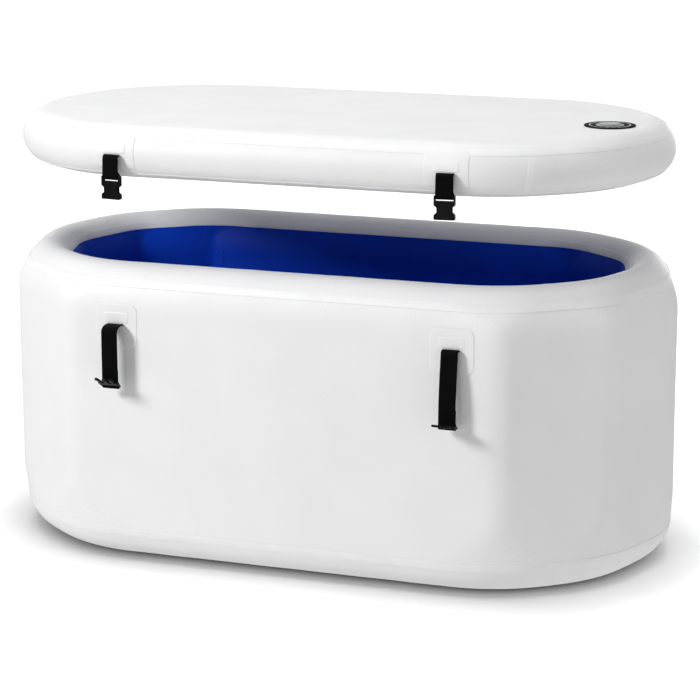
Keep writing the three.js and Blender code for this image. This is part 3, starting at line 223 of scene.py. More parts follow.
@dataclass(frozen=True)
class WeldedFilm(Finish):
    """Plain PVC film, heat welded: smoother than the cloth, with slow ripples from the welding iron.

    Attributes:
        colour: the film's colour.
        shade: the film's colour where the iron pressed it thinner.
        ripple: spacing of the iron's ripples.
        relief: height of the ripples.
        roughness: roughness of the film.
        specular: specular level of the film.
    """

    colour: str
    shade: str
    ripple: float = 34.0
    relief: float = 0.2
    roughness: float = 0.45
    specular: float = 0.4

    def dress(self, tree: bpy.types.NodeTree, shader: bpy.types.Node) -> None:
        """Ripples and tint follow Object coordinates, so that neighbouring strips differ."""
        place = add_node(tree, "ShaderNodeTexCoord", {}, {}).outputs["Object"]
        slow = add_node(tree, "ShaderNodeTexNoise", {}, {
            "Vector": place, "Scale": 1 / (self.ripple * MM), "Detail": 3.0}).outputs["Fac"]
        tint = add_node(tree, "ShaderNodeValToRGB", {"ramp": (
            (0.3, linear(self.colour)), (0.75, linear(self.shade)))}, {"Fac": slow}).outputs["Color"]
        rough = add_node(tree, "ShaderNodeMapRange", {}, {
            "Value": slow, "To Min": self.roughness - 0.08, "To Max": self.roughness + 0.08}).outputs[0]
        wave = add_node(tree, "ShaderNodeBump", {}, {
            "Height": slow, "Distance": self.relief * MM, "Strength": 0.8}).outputs[0]
        tree.links.new(tint, shader.inputs["Base Color"])
        tree.links.new(rough, shader.inputs["Roughness"])
        tree.links.new(wave, shader.inputs["Normal"])
        shader.inputs["IOR"].default_value = 1.53
        shader.inputs["Specular IOR Level"].default_value = self.specular


@dataclass(frozen=True)
class WovenWebbing(Finish):
    """Polypropylene webbing: flat yarns in ribs along the strap, with a painted sheen: the colour is lighter on their
    crowns and darker between them, as painted shade.

    Attributes:
        painted_sheen_crown: colour of the yarns' crowns, lighter as a painted sheen.
        painted_shade_furrow: colour between the yarns, darker as painted shade.
        rib: spacing of the ribs across the strap.
        pick: spacing of the cross yarns along the strap.
        relief: height of a rib.
    """

    painted_sheen_crown: str
    painted_shade_furrow: str
    rib: float = 3.2
    pick: float = 2.4
    relief: float = 0.35

    def dress(self, tree: bpy.types.NodeTree, shader: bpy.types.Node) -> None:
        """Ribs and picks follow the strap's own UV map; both are drawn coarser than life to show."""
        flat = add_node(tree, "ShaderNodeTexCoord", {}, {}).outputs["UV"]
        yarns = [add_node(tree, "ShaderNodeTexWave", {"bands_direction": axis}, {
            "Vector": flat, "Scale": WAVE_TURN / (spacing * MM), "Distortion": 0.4,
        }).outputs["Fac"] for axis, spacing in (("X", self.pick), ("Y", self.rib))]
        weave = add_node(tree, "ShaderNodeMath", {"operation": "MULTIPLY"}, {
            0: yarns[0], 1: yarns[1]}).outputs[0]
        # Painted sheen and shade: the weave's crowns take the lighter colour and the gaps between the yarns the darker
        # one.
        tint = add_node(tree, "ShaderNodeValToRGB", {"ramp": (
            (0.05, linear(self.painted_shade_furrow)), (0.8, linear(self.painted_sheen_crown)))}, {"Fac": weave}).outputs["Color"]
        rib = add_node(tree, "ShaderNodeBump", {}, {
            "Height": weave, "Distance": self.relief * MM, "Strength": 0.8}).outputs[0]
        tree.links.new(tint, shader.inputs["Base Color"])
        tree.links.new(rib, shader.inputs["Normal"])
        shader.inputs["Roughness"].default_value = 0.7
        shader.inputs["IOR"].default_value = 1.49
        shader.inputs["Specular IOR Level"].default_value = 0.04
        shader.inputs["Sheen Weight"].default_value = 0.01
        shader.inputs["Sheen Roughness"].default_value = 0.45


@dataclass(frozen=True)
class MouldedPlastic(Finish):
    """Injection-moulded plastic: a spark-eroded mould leaves a fine grit, worn smoother in patches.

    Attributes:
        colour: the plastic's colour.
        worn: its colour where handling has polished it.
        grit: size of the mould's grit.
        relief: height of the grit.
        roughness: roughness of the plastic.
        index: index of refraction.
        specular: specular level of the plastic.
        metallic: share of metal, for steel wire.
    """

    colour: str
    worn: str
    grit: float = 1.6
    relief: float = 0.05
    roughness: float = 0.42
    index: float = 1.49
    specular: float = 0.15
    metallic: float = 0.0

    def dress(self, tree: bpy.types.NodeTree, shader: bpy.types.Node) -> None:
        """Grit and wear follow Object coordinates."""
        place = add_node(tree, "ShaderNodeTexCoord", {}, {}).outputs["Object"]
        grit = add_node(tree, "ShaderNodeTexNoise", {}, {
            "Vector": place, "Scale": 1 / (self.grit * MM), "Detail": 2.0}).outputs["Fac"]
        wear = add_node(tree, "ShaderNodeTexNoise", {}, {
            "Vector": place, "Scale": 1 / (self.grit * 14 * MM), "Detail": 3.0}).outputs["Fac"]
        tint = add_node(tree, "ShaderNodeValToRGB", {"ramp": (
            (0.45, linear(self.colour)), (0.8, linear(self.worn)))}, {"Fac": wear}).outputs["Color"]
        rough = add_node(tree, "ShaderNodeMapRange", {}, {
            "Value": wear, "To Min": self.roughness + 0.1, "To Max": self.roughness - 0.1}).outputs[0]
        bump = add_node(tree, "ShaderNodeBump", {}, {
            "Height": grit, "Distance": self.relief * MM, "Strength": 0.7}).outputs[0]
        tree.links.new(tint, shader.inputs["Base Color"])
        tree.links.new(rough, shader.inputs["Roughness"])
        tree.links.new(bump, shader.inputs["Normal"])
        shader.inputs["Metallic"].default_value = self.metallic
        if not self.metallic:
            shader.inputs["IOR"].default_value = self.index
            shader.inputs["Specular IOR Level"].default_value = self.specular


@dataclass(frozen=True)
class RingedRubber(Finish):
    """Rubber pad round a valve: black, with pale rings and plain tick marks moulded into its face.

    Attributes:
        rubber: colour of the pad.
        mark: colour of the rings and ticks.
        ticks: number of dashes in the ring.
        tick_share: share of the turn that the dashes take.
        ring: inner and outer radius of the dashed ring.
        collar: inner and outer radius of the plain ring beside the cap.
    """

    rubber: str
    mark: str
    ticks: int = 20
    tick_share: float = 0.8
    ring: Tuple[float, float] = (42.7, 45.5)
    collar: Tuple[float, float] = (29.0, 30.6)

    def dress(self, tree: bpy.types.NodeTree, shader: bpy.types.Node) -> None:
        """The UV map holds (turn, radius in metres), so rings are steps in v and ticks waves in u."""
        flat = add_node(tree, "ShaderNodeTexCoord", {}, {})
        parts = add_node(tree, "ShaderNodeSeparateXYZ", {}, {0: flat.outputs["UV"]})
        turn, radius = parts.outputs["X"], parts.outputs["Y"]

        def within(low: float, high: float) -> bpy.types.NodeSocket:
            """1 where the radius is between two values, else 0."""
            over = add_node(tree, "ShaderNodeMath", {"operation": "GREATER_THAN"}, {0: radius, 1: low * MM})
            under = add_node(tree, "ShaderNodeMath", {"operation": "LESS_THAN"}, {0: radius, 1: high * MM})
            return add_node(tree, "ShaderNodeMath", {"operation": "MULTIPLY"}, {
                0: over.outputs[0], 1: under.outputs[0]}).outputs[0]

        spun = add_node(tree, "ShaderNodeMath", {"operation": "MULTIPLY"}, {0: turn, 1: float(self.ticks)})
        saw = add_node(tree, "ShaderNodeMath", {"operation": "FRACT"}, {0: spun.outputs[0]})
        tick = add_node(tree, "ShaderNodeMath", {"operation": "LESS_THAN"}, {
            0: saw.outputs[0], 1: self.tick_share}).outputs[0]
        ticks = add_node(tree, "ShaderNodeMath", {"operation": "MULTIPLY"}, {
            0: tick, 1: within(*self.ring)}).outputs[0]
        marks = add_node(tree, "ShaderNodeMath", {"operation": "MAXIMUM"}, {
            0: ticks, 1: within(*self.collar)}).outputs[0]
        noise = add_node(tree, "ShaderNodeTexNoise", {}, {
            "Vector": flat.outputs["Object"], "Scale": 1 / (9 * MM), "Detail": 3.0}).outputs["Fac"]
        tint = add_node(tree, "ShaderNodeValToRGB", {"ramp": (
            (0.0, linear(self.rubber)), (1.0, linear(self.mark)))}, {"Fac": marks}).outputs["Color"]
        rough = add_node(tree, "ShaderNodeMapRange", {}, {
            "Value": noise, "To Min": 0.42, "To Max": 0.62}).outputs[0]
        bump = add_node(tree, "ShaderNodeBump", {}, {
            "Height": marks, "Distance": 0.3 * MM, "Strength": 0.6}).outputs[0]
        tree.links.new(tint, shader.inputs["Base Color"])
        tree.links.new(rough, shader.inputs["Roughness"])
        tree.links.new(bump, shader.inputs["Normal"])
        shader.inputs["IOR"].default_value = 1.52
        shader.inputs["Specular IOR Level"].default_value = 0.01


SHELL_CLOTH = CoatedCloth("coated_twill_white", Slot.SHELL, "#efefef", "#ebebec")
RAIL_CLOTH = CoatedCloth("coated_plain_white", Slot.SHELL, "#efefef", "#ebebec", row=9.0, relief=0.02, painted_furrow_shade=0.006)
LID_CLOTH = CoatedCloth("coated_lid_white", Slot.LID, "#eeeeee", "#eaeaeb", relief=0.02, painted_furrow_shade=0.012)
LINER_CLOTH = CoatedCloth(
    "coated_liner_blue", Slot.LINER, "#0242cc", "#023cbe", row=9.0, relief=0.12, roughness=0.5,
    specular=0.12, painted_furrow_shade=0.12)
TAPE_FILM = WeldedFilm("welded_tape_white", Slot.TAPE, "#f0f0f0", "#ececed")
PATCH_FILM = WeldedFilm("welded_patch_white", Slot.PATCH, "#f0f0f0", "#ebebec", ripple=50)
BLUE_FILM = WeldedFilm("welded_tape_blue", Slot.LINER, "#0242cc", "#0238b0", specular=0.12)
WEBBING = WovenWebbing("polypropylene_webbing_black", Slot.WEBBING, "#070708", "#030304")
BUCKLE_PLASTIC = MouldedPlastic("acetal_black", Slot.BUCKLE, "#050506", "#0b0b0c", specular=0.09)
FITTING_PLASTIC = MouldedPlastic("nylon_black", Slot.FITTING, "#101112", "#1c1d1f", roughness=0.5)
VALVE_PLASTIC = MouldedPlastic("nylon_grey", Slot.VALVE, "#a4a6a8", "#b2b4b6", roughness=0.5, specular=0.2)
VALVE_RUBBER = RingedRubber("ringed_rubber_black", Slot.PAD, "#030304", "#e4e5e5")
GASKET_RUBBER = MouldedPlastic("moulded_rubber", Slot.GASKET, "#141415", "#202022", roughness=0.75)
SPRING_WIRE = MouldedPlastic("drawn_spring_wire", Slot.SPRING, "#b8bcc2", "#d2d5d9", roughness=0.28, metallic=1.0)
SPUN_THREAD = MouldedPlastic("spun_polyester", Slot.THREAD, "#dcdcd8", "#e6e6e2", grit=0.9, roughness=0.85)


# Meshes


def outward(points: Array, quads: Array) -> bool:
    """Tells whether quads point out of the form, by the sign of the volume that they close.

    Args:
        points: vertex places, one row each.
        quads: vertex numbers of each quad.

    Returns:
        True where the closed volume is positive.
    """
    a, b, c, d = (points[quads[:, k]] for k in range(4))
    triple = np.einsum("ij,ij->i", a, np.cross(b, c)) + np.einsum("ij,ij->i", a, np.cross(c, d))
    return float(triple.sum()) > 0


def lattice(
    name: str, points: Array, flat: Array, round_rows: bool = False, round_columns: bool = True,
    poles: Sequence[Optional[Array]] = (None, None), caps: bool = False, crease: float = 32.0,
) -> bpy.types.Object:
    """Makes a mesh from a grid of points: each cell is a quad, and poles or caps close its ends.

    Args:
        name: the piece's name.
        points: grid of places in millimetres, rows by columns by 3.
        flat: the pattern's place at each cell corner in millimetres, with one more row or column
            than the points where that direction is round.
        round_rows: whether the last row joins the first.
        round_columns: whether the last column joins the first.
        poles: points that close the first and last rows, each by a fan.
        caps: whether one face closes the first row and one the last.
        crease: edges that turn further than this, in degrees, are shaded sharp.

    Returns:
        The new object, with its place in its mesh and faces that point outwards.
    """
    rows, columns = points.shape[:2]
    number = np.arange(rows * columns).reshape(rows, columns)
    across = np.concatenate([number, number[:, :1]], axis=1) if round_columns else number
    wrapped = np.concatenate([across, across[:1]], axis=0) if round_rows else across
    corners = [wrapped[:-1, :-1], wrapped[:-1, 1:], wrapped[1:, 1:], wrapped[1:, :-1]]
    quads = np.stack([c.ravel() for c in corners], axis=1)
    places = [flat[:-1, :-1], flat[:-1, 1:], flat[1:, 1:], flat[1:, :-1]]
    quad_flat = np.stack([p.reshape(-1, 2) for p in places], axis=1)
    vertices = points.reshape(-1, 3)
    faces = [quads]
    flats = [quad_flat]
    for pole, edge, row, order in zip(poles, (across[0], across[-1]), (flat[0], flat[-1]), (1, -1)):
        if pole is not None:
            tip = np.full(len(edge) - 1, len(vertices))
            vertices = np.concatenate([vertices, np.asarray(pole, float)[None]])
            faces.append(np.stack([tip, edge[1:], edge[:-1]] if order > 0 else [tip, edge[:-1], edge[1:]], axis=1))
            middle = np.broadcast_to(row.mean(axis=0), row[1:].shape)
            flats.append(np.stack([middle, row[1:], row[:-1]] if order > 0 else [middle, row[:-1], row[1:]], axis=1))
    if caps:
        faces += [number[:1, ::-1], number[-1:]]
        flats += [flat[None, 0, :columns][:, ::-1], flat[None, -1, :columns]]
    if not outward(vertices, quads):
        faces = [face[:, ::-1] for face in faces]
        flats = [f[:, ::-1] for f in flats]
    mesh = bpy.data.meshes.new(name)
    mesh.from_pydata((vertices * MM).tolist(), [], [f for face in faces for f in face.tolist()])
    layer = mesh.uv_layers.new(name="flat")
    layer.data.foreach_set("uv", np.concatenate([f.reshape(-1) for f in flats]) * MM)
    finish_mesh(mesh, crease)
    piece = bpy.data.objects.new(name, mesh)
    bpy.context.scene.collection.objects.link(piece)
    return piece


def finish_mesh(mesh: bpy.types.Mesh, crease: float) -> None:
    """Shades a mesh smooth, with sharp edges where it turns further than crease degrees."""
    mesh.shade_smooth()
    mesh.set_sharp_from_angle(angle=math.radians(crease))


def settle(
    piece: bpy.types.Object, body: str, finish: Finish, replaced: Sequence[str] = (),
) -> bpy.types.Object:
    """Gives a piece its finish and body, hides the solids that it stands for, and reports it.

    Args:
        piece: the new object.
        body: the body that it rides on.
        finish: its finish.
        replaced: the solids that it stands for.

    Returns:
        The same piece.
    """
    piece.data.materials.clear()
    piece.data.materials.append(finish.material())
    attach(piece, body)
    if replaced:
        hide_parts(*replaced)
    LOG.info("%s on %s: %d faces, %s", piece.name, body, len(piece.data.polygons), finish.name)
    return piece


def pierce(piece: bpy.types.Object, centre: Array, axis: Array, radius: float, depth: float) -> None:
    """Cuts a round hole right through a piece: the piece less a turned bar.

    Args:
        piece: the object to cut; its mesh is replaced.
        centre: the hole's middle.
        axis: the hole's direction.
        radius: the hole's radius.
        depth: length of the bar.
    """
    turn = np.linspace(0, 2 * math.pi, 64, endpoint=False)
    ring = np.stack([np.cos(turn), np.sin(turn)], axis=1) * radius
    frame_of = np.array(Vector(axis).to_track_quat("Z", "X").to_matrix())
    ends = [np.column_stack([ring, np.full(len(ring), z)]) @ frame_of.T + centre for z in (-depth / 2, depth / 2)]
    bar = lattice("bar", np.stack(ends), np.zeros((2, len(turn) + 1, 2)), caps=True)
    cutter = piece.modifiers.new("hole", "BOOLEAN")
    cutter.operation = "DIFFERENCE"
    cutter.solver = "EXACT"
    cutter.object = bar
    seen = piece.evaluated_get(bpy.context.evaluated_depsgraph_get())
    cut = bpy.data.meshes.new_from_object(seen)
    piece.modifiers.clear()
    piece.data = cut
    finish_mesh(cut, 32)
    bpy.data.objects.remove(bar)


def smoothstep(x: Array, low: float, high: float) -> Array:
    """Eases from 0 at low to 1 at high, as t*t*(3 - 2t)."""
    t = np.clip((x - low) / (high - low), 0, 1)
    return t * t * (3 - 2 * t)


def unit(vectors: Array) -> Array:
    """Vectors of length 1 along the last axis."""
    return vectors / np.linalg.norm(vectors, axis=-1, keepdims=True)


def walked(points: Array) -> Array:
    """Distance walked along a polyline to each of its points, from 0."""
    steps = np.linalg.norm(np.diff(points, axis=0), axis=1)
    return np.concatenate([[0.0], np.cumsum(steps)])


def rounded_loop(width: float, height: float, corner: float, steps: int, run: int) -> Array:
    """Outline of a rounded rectangle: four quarter circles joined by straight runs.

    Args:
        width: full width.
        height: full height.
        corner: radius of the corners.
        steps: points along each quarter circle, less one.
        run: points along each straight run.

    Returns:
        Points in order, counter-clockwise from the right side.
    """
    turn = np.linspace(0, math.pi / 2, steps + 1)
    middles = np.array([[1, 1], [-1, 1], [-1, -1], [1, -1]]) * [width / 2 - corner, height / 2 - corner]
    arcs = [m + corner * np.stack([np.cos(turn + k * math.pi / 2), np.sin(turn + k * math.pi / 2)], axis=1)
            for k, m in enumerate(middles)]
    share = np.linspace(0, 1, run + 2)[1:-1, None]
    return np.concatenate([
        np.concatenate([arc, arc[-1] + share * (after[0] - arc[-1])])
        for arc, after in zip(arcs, arcs[1:] + arcs[:1])])


def softened(profile: Array, radius: float, steps: int = 4) -> Array:
    """Rounds every corner of a closed profile: each corner becomes a parabola between its two sides.

    Args:
        profile: corner points in order.
        radius: how far along each side the rounding starts, at most 0.45 of the side.
        steps: pieces of each rounding.

    Returns:
        The rounded profile.
    """
    before, after = np.roll(profile, 1, axis=0) - profile, np.roll(profile, -1, axis=0) - profile
    reach = [np.minimum(radius, 0.45 * np.linalg.norm(v, axis=1))[:, None] for v in (before, after)]
    start, end = profile + unit(before) * reach[0], profile + unit(after) * reach[1]
    t = np.linspace(0, 1, steps + 1)[None, :, None]
    curve = start[:, None] * (1 - t) ** 2 + 2 * t * (1 - t) * profile[:, None] + end[:, None] * t ** 2
    return curve.reshape(-1, 2)


# Plan and sections of the inflated panels


@dataclass(frozen=True)
class BentPlan:
    """Plan of the tub: ten flat panels with a rounded bend at each corner.

    A plan curve is the panels moved inwards by an inset, with a circle arc at each bend.

    Attributes:
        side_half_width: half of the width between the long sides.
        side_bend: where a long side meets a diagonal panel, along x.
        end_bend: where a diagonal panel meets an end panel.
        tip: where the two end panels meet, along x.
        least: least radius of a bend.
        arc_steps: pieces of each bend.
        runs: points between the bends along an end, a diagonal and a side panel.
    """

    side_half_width: float = 419.0
    side_bend: float = 497.0
    end_bend: Tuple[float, float] = (704.0, 252.0)
    tip: float = 779.0
    least: float = 35.0
    arc_steps: int = 12
    runs: Tuple[int, int, int] = (5, 5, 23)

    def corners(self) -> Array:
        """The ten corners, counter-clockwise from the right-hand tip."""
        (ex, ey), sx, sy = self.end_bend, self.side_bend, self.side_half_width
        rear = np.array([[self.tip, 0], [ex, ey], [sx, sy], [-sx, sy], [-ex, ey]])
        return np.concatenate([rear, -rear])

    def rings(self, inset: Array, bend: Array) -> Array:
        """Plan curves, all with the same columns, the first in the middle of the rear side.

        Args:
            inset: how far each curve lies inside the panels.
            bend: radius of each curve's bends at inset 0.

        Returns:
            Points, curves by columns by 2.
        """
        corner = self.corners()
        onward = np.roll(corner, -1, axis=0) - corner
        span = np.linalg.norm(onward, axis=1)
        leaving = unit(onward)
        arriving = np.roll(leaving, 1, axis=0)
        turn = np.arccos(np.clip((arriving * leaving).sum(axis=1), -1, 1))
        limit = np.minimum(span, np.roll(span, 1)) / 2 / np.tan(turn / 2)
        inset, bend = np.asarray(inset, float), np.asarray(bend, float)
        radius = np.maximum(np.minimum(bend[:, None], limit) - inset[:, None], self.least)
        inward = unit(leaving - arriving) / np.cos(turn / 2)[:, None]
        tip = corner + inward * inset[:, None, None]
        start = tip - arriving * (radius * np.tan(turn / 2))[..., None]
        normal = np.stack([-arriving[:, 1], arriving[:, 0]], axis=1)
        centre = start + normal * radius[..., None]
        swing = turn[:, None] * np.linspace(0, 1, self.arc_steps + 1)
        c, s = np.cos(swing), np.sin(swing)
        spoke = np.stack([-normal[:, :1] * c + normal[:, 1:] * s, -normal[:, :1] * s - normal[:, 1:] * c], axis=-1)
        arcs = centre[:, :, None] + spoke * radius[:, :, None, None]
        end, diagonal, side = self.runs
        counts = [end, diagonal, side, diagonal, end] * 2
        parts = []
        for k, count in enumerate(counts):
            share = np.linspace(0, 1, count + 2)[1:-1, None]
            a, b = arcs[:, k, -1:], arcs[:, (k + 1) % 10, :1]
            parts += [arcs[:, k], a + (b - a) * share]
        shift = 3 * (self.arc_steps + 1) + end + diagonal + side // 2
        return np.roll(np.concatenate(parts, axis=1), -shift, axis=1)

    def lengths(self, bend: float) -> Array:
        """Distance round the outermost curve to each column, and the whole way round last.

        Args:
            bend: radius of its bends.

        Returns:
            One more distance than there are columns.
        """
        ring = self.rings(np.zeros(1), np.full(1, bend))[0]
        return walked(np.concatenate([ring, ring[:1]]))

    def column(self, x: float, side: Side, bend: float, inset: float = 0.0) -> float:
        """Column, as a fraction, where a curve passes x on one long side.

        Args:
            x: place along the tub.
            side: front or rear.
            bend: radius of the curve's bends.
            inset: the curve's inset.

        Returns:
            The column's number with its fraction.
        """
        ring = self.rings(np.full(1, inset), np.full(1, bend))[0]
        number = np.arange(len(ring))
        if side is Side.REAR:
            half = len(ring) // 2
            number = (number + half) % len(ring)
            ring = ring[number]
            number = np.where(number >= half, number - len(ring), number)
        kept = ring[:, 1] * side.value > 0
        order = np.argsort(ring[kept, 0])
        return float(np.interp(x, ring[kept, 0][order], number[kept][order]))

    def stepped(self, column: float, across: Array, inset: float, bend: float) -> Array:
        """Columns at distances from one column along a curve.

        Args:
            column: the column to start from.
            across: distances along the curve, either way.
            inset: the curve's inset.
            bend: radius of its bends.

        Returns:
            The columns' numbers with their fractions.
        """
        ring = self.rings(np.full(1, inset), np.full(1, bend))[0]
        length = walked(np.concatenate([ring, ring[:1]]))
        number = np.arange(len(length))
        start = np.interp(column % len(ring), number, length)
        return np.interp((start + across) % length[-1], length, number)

    def at(self, column: Array, inset: Array, bend: Array) -> Array:
        """Points at fractional columns, each on its own curve, by a straight line between columns.

        Args:
            column: column of each point.
            inset: inset of each point's curve.
            bend: bend radius of each point's curve.

        Returns:
            Points in plan.
        """
        rings = self.rings(inset, bend)
        count = rings.shape[1]
        low = np.floor(column).astype(int)
        share = (column - low)[:, None]
        line = np.arange(len(column))
        return rings[line, low % count] * (1 - share) + rings[line, (low + 1) % count] * share


PLAN = BentPlan()
WALL_BEND = 95.0
OVAL_BEND = 345.0


@dataclass(frozen=True)
class Section:
    """A section through an inflated panel: insets, heights and bend radii along its line.

    Attributes:
        walk: distance along the line.
        inset: inset of each point from the panels' plan.
        height: height of each point.
        bend: bend radius of the plan curve at each point.
    """

    walk: Array
    inset: Array
    height: Array
    bend: Array

    @staticmethod
    def through(inset: Array, height: Array, bend: Array) -> "Section":
        """A section through points in order, which drops points that repeat.

        Args:
            inset: insets.
            height: heights.
            bend: bend radii.

        Returns:
            The section, measured along its line.
        """
        line = np.stack([inset, height], axis=1)
        kept = np.concatenate([[True], np.linalg.norm(np.diff(line, axis=0), axis=1) > 1e-6])
        return Section(walked(line[kept]), inset[kept], height[kept], bend[kept])

    def look(self, walk: Array, offset: Array) -> Tuple[Array, Array, Array, Array, Array]:
        """Points at distances along the line, moved out by offsets along the line's normal.

        Args:
            walk: distances along the line.
            offset: how far each point stands out of the skin's outer face.

        Returns:
            Insets, heights, bend radii, and the normal's inset and height parts.
        """
        slope = [np.gradient(v, self.walk) for v in (self.inset, self.height)]
        along = unit(np.stack([np.interp(walk, self.walk, v) for v in slope], axis=-1))
        out = np.stack([-along[..., 1], along[..., 0]], axis=-1)
        inset, height, bend = (np.interp(walk, self.walk, v) for v in (self.inset, self.height, self.bend))
        return inset + out[..., 0] * offset, height + out[..., 1] * offset, bend, out[..., 0], out[..., 1]

    def sweep(self, loop: Array, ripple: Optional[Callable[[Array, Array], Array]] = None) -> Array:
        """Carries a loop of (walk, offset) points round the plan.

        Args:
            loop: the loop's points.
            ripple: height of the skin's ripples at (distance round, walk), if it has any.

        Returns:
            Grid of points, loop by columns by 3.
        """
        inset, height, bend, out_inset, out_height = self.look(loop[:, 0], loop[:, 1])
        ring = PLAN.rings(inset, bend)
        grid = np.concatenate([ring, np.broadcast_to(height[:, None, None], ring.shape[:2] + (1,))], axis=2)
        if ripple is not None:
            lift = ripple(PLAN.lengths(WALL_BEND)[None, :-1], loop[:, :1])
            along = unit(np.roll(ring, -1, axis=1) - np.roll(ring, 1, axis=1))
            facing = np.stack([along[..., 1], -along[..., 0]], axis=-1)
            grid[..., :2] += facing * (-out_inset[:, None] * lift)[..., None]
            grid[..., 2] += out_height[:, None] * lift
        return grid

    def flat(self, loop: Array) -> Array:
        """The pattern's place for a swept loop: distance round the plan, and distance along the line.

        Args:
            loop: the loop's points, (walk, offset).

        Returns:
            Grid of pattern places, one row and one column more than the swept points.
        """
        along = PLAN.lengths(WALL_BEND)
        line = np.concatenate([loop[:, 0], loop[:1, 0]])
        return np.stack(np.broadcast_arrays(along[None], line[:, None]), axis=-1)

    def on(self, column: Array, walk: Array, offset: Array) -> Array:
        """Single points of the skin at (column, walk), moved out by offsets.

        Args:
            column: columns of the points.
            walk: distances along the line.
            offset: how far each stands out.

        Returns:
            Points in space.
        """
        inset, height, bend, _, _ = self.look(walk, offset)
        return np.column_stack([PLAN.at(column, inset, bend), height])


def skin_loop(low: float, high: float, steps: int, thickness: float, base: float = 0.0) -> Array:
    """Loop of a thin skin: along its outer face and back along its inner face.

    Args:
        low: distance along the section where it starts.
        high: where it ends.
        steps: pieces along each face.
        thickness: thickness of the skin.
        base: offset of its outer face.

    Returns:
        The loop's (walk, offset) points.
    """
    walk = np.linspace(low, high, steps + 1)
    outer = np.stack([walk, np.full_like(walk, base)], axis=1)
    return np.concatenate([outer, (outer - [0, thickness])[::-1]])


def tape_loop(low: float, high: float, steps: int, base: float, thickness: float, bevel: float = 1.6) -> Array:
    """Loop of a welded strip, whose outer face thins out to its edges as a quarter ellipse.

    Args:
        low: distance along the section where it starts.
        high: where it ends.
        steps: pieces along the flat of its outer face.
        base: offset of its inner face.
        thickness: its thickness.
        bevel: width of the thinning edge.

    Returns:
        The loop's (walk, offset) points.
    """
    turn = np.linspace(0, math.pi / 2, 5)
    edge = np.stack([bevel * (1 - np.cos(turn)), thickness * np.sin(turn)], axis=1)
    middle = np.linspace(low + bevel, high - bevel, steps + 1)[1:-1]
    outer = np.concatenate([
        edge + [low, base],
        np.stack([middle, np.full_like(middle, base + thickness)], axis=1),
        (edge * [-1, 1])[::-1] + [high, base]])
    under = np.linspace(high, low, steps + 1)[1:-1]
    return np.concatenate([outer, np.stack([under, np.full_like(under, base)], axis=1)])


@dataclass(frozen=True)
class PatchShape:
    """A welded patch: a rounded rectangle that thins out at its edge, as a low closed form.

    Attributes:
        width: full width.
        height: full height.
        corner: radius of its corners.
        thickness: its thickness.
        bevel: width of the thinning edge.
        base: offset of its inner face from the skin.
        steps: points along each side.
    """

    width: float
    height: float
    corner: float
    thickness: float
    bevel: float = 1.5
    base: float = 0.3
    steps: int = 9

    def grid(self) -> Tuple[Array, Array, Array]:
        """Rings that shrink from the rim to the middle, once over the top and once under.

        Returns:
            Across and up places and offsets, each rings by points; the first ring is the top's
            smallest and the last is the underside's smallest.
        """
        loop = rounded_loop(self.width, self.height, self.corner, 6, self.steps)
        half = min(self.width, self.height) / 2
        turn = np.linspace(math.pi / 2, 0, 5)
        share = np.concatenate([np.linspace(0.02, 1 - self.bevel / half, 8)[:-1],
                                1 - self.bevel / half * (1 - np.cos(turn))])
        lift = np.concatenate([np.full(7, self.thickness), self.thickness * np.sin(turn)])
        under = np.linspace(1, 0.02, 8)[1:]
        share, lift = np.concatenate([share, under]), np.concatenate([lift, np.zeros(7)])
        across, up = (loop[None, :, k] * share[:, None] for k in (0, 1))
        return across, up, np.broadcast_to(self.base + lift[:, None], across.shape)

    def piece(self, name: str, place: Callable[[Array, Array, Array], Array]) -> bpy.types.Object:
        """Makes the patch where place puts its (across, up, offset) points.

        Args:
            name: the piece's name.
            place: turns across, up and offset to points in space.

        Returns:
            The new object.
        """
        across, up, offset = self.grid()
        points = place(across.ravel(), up.ravel(), offset.ravel()).reshape(across.shape + (3,))
        flat = np.stack([np.concatenate([v, v[:, :1]], axis=1) for v in (across, up)], axis=-1)
        poles = [points[k].mean(axis=0) for k in (0, -1)]
        return lattice(name, points, flat, poles=poles, crease=40)


# The tub's shell


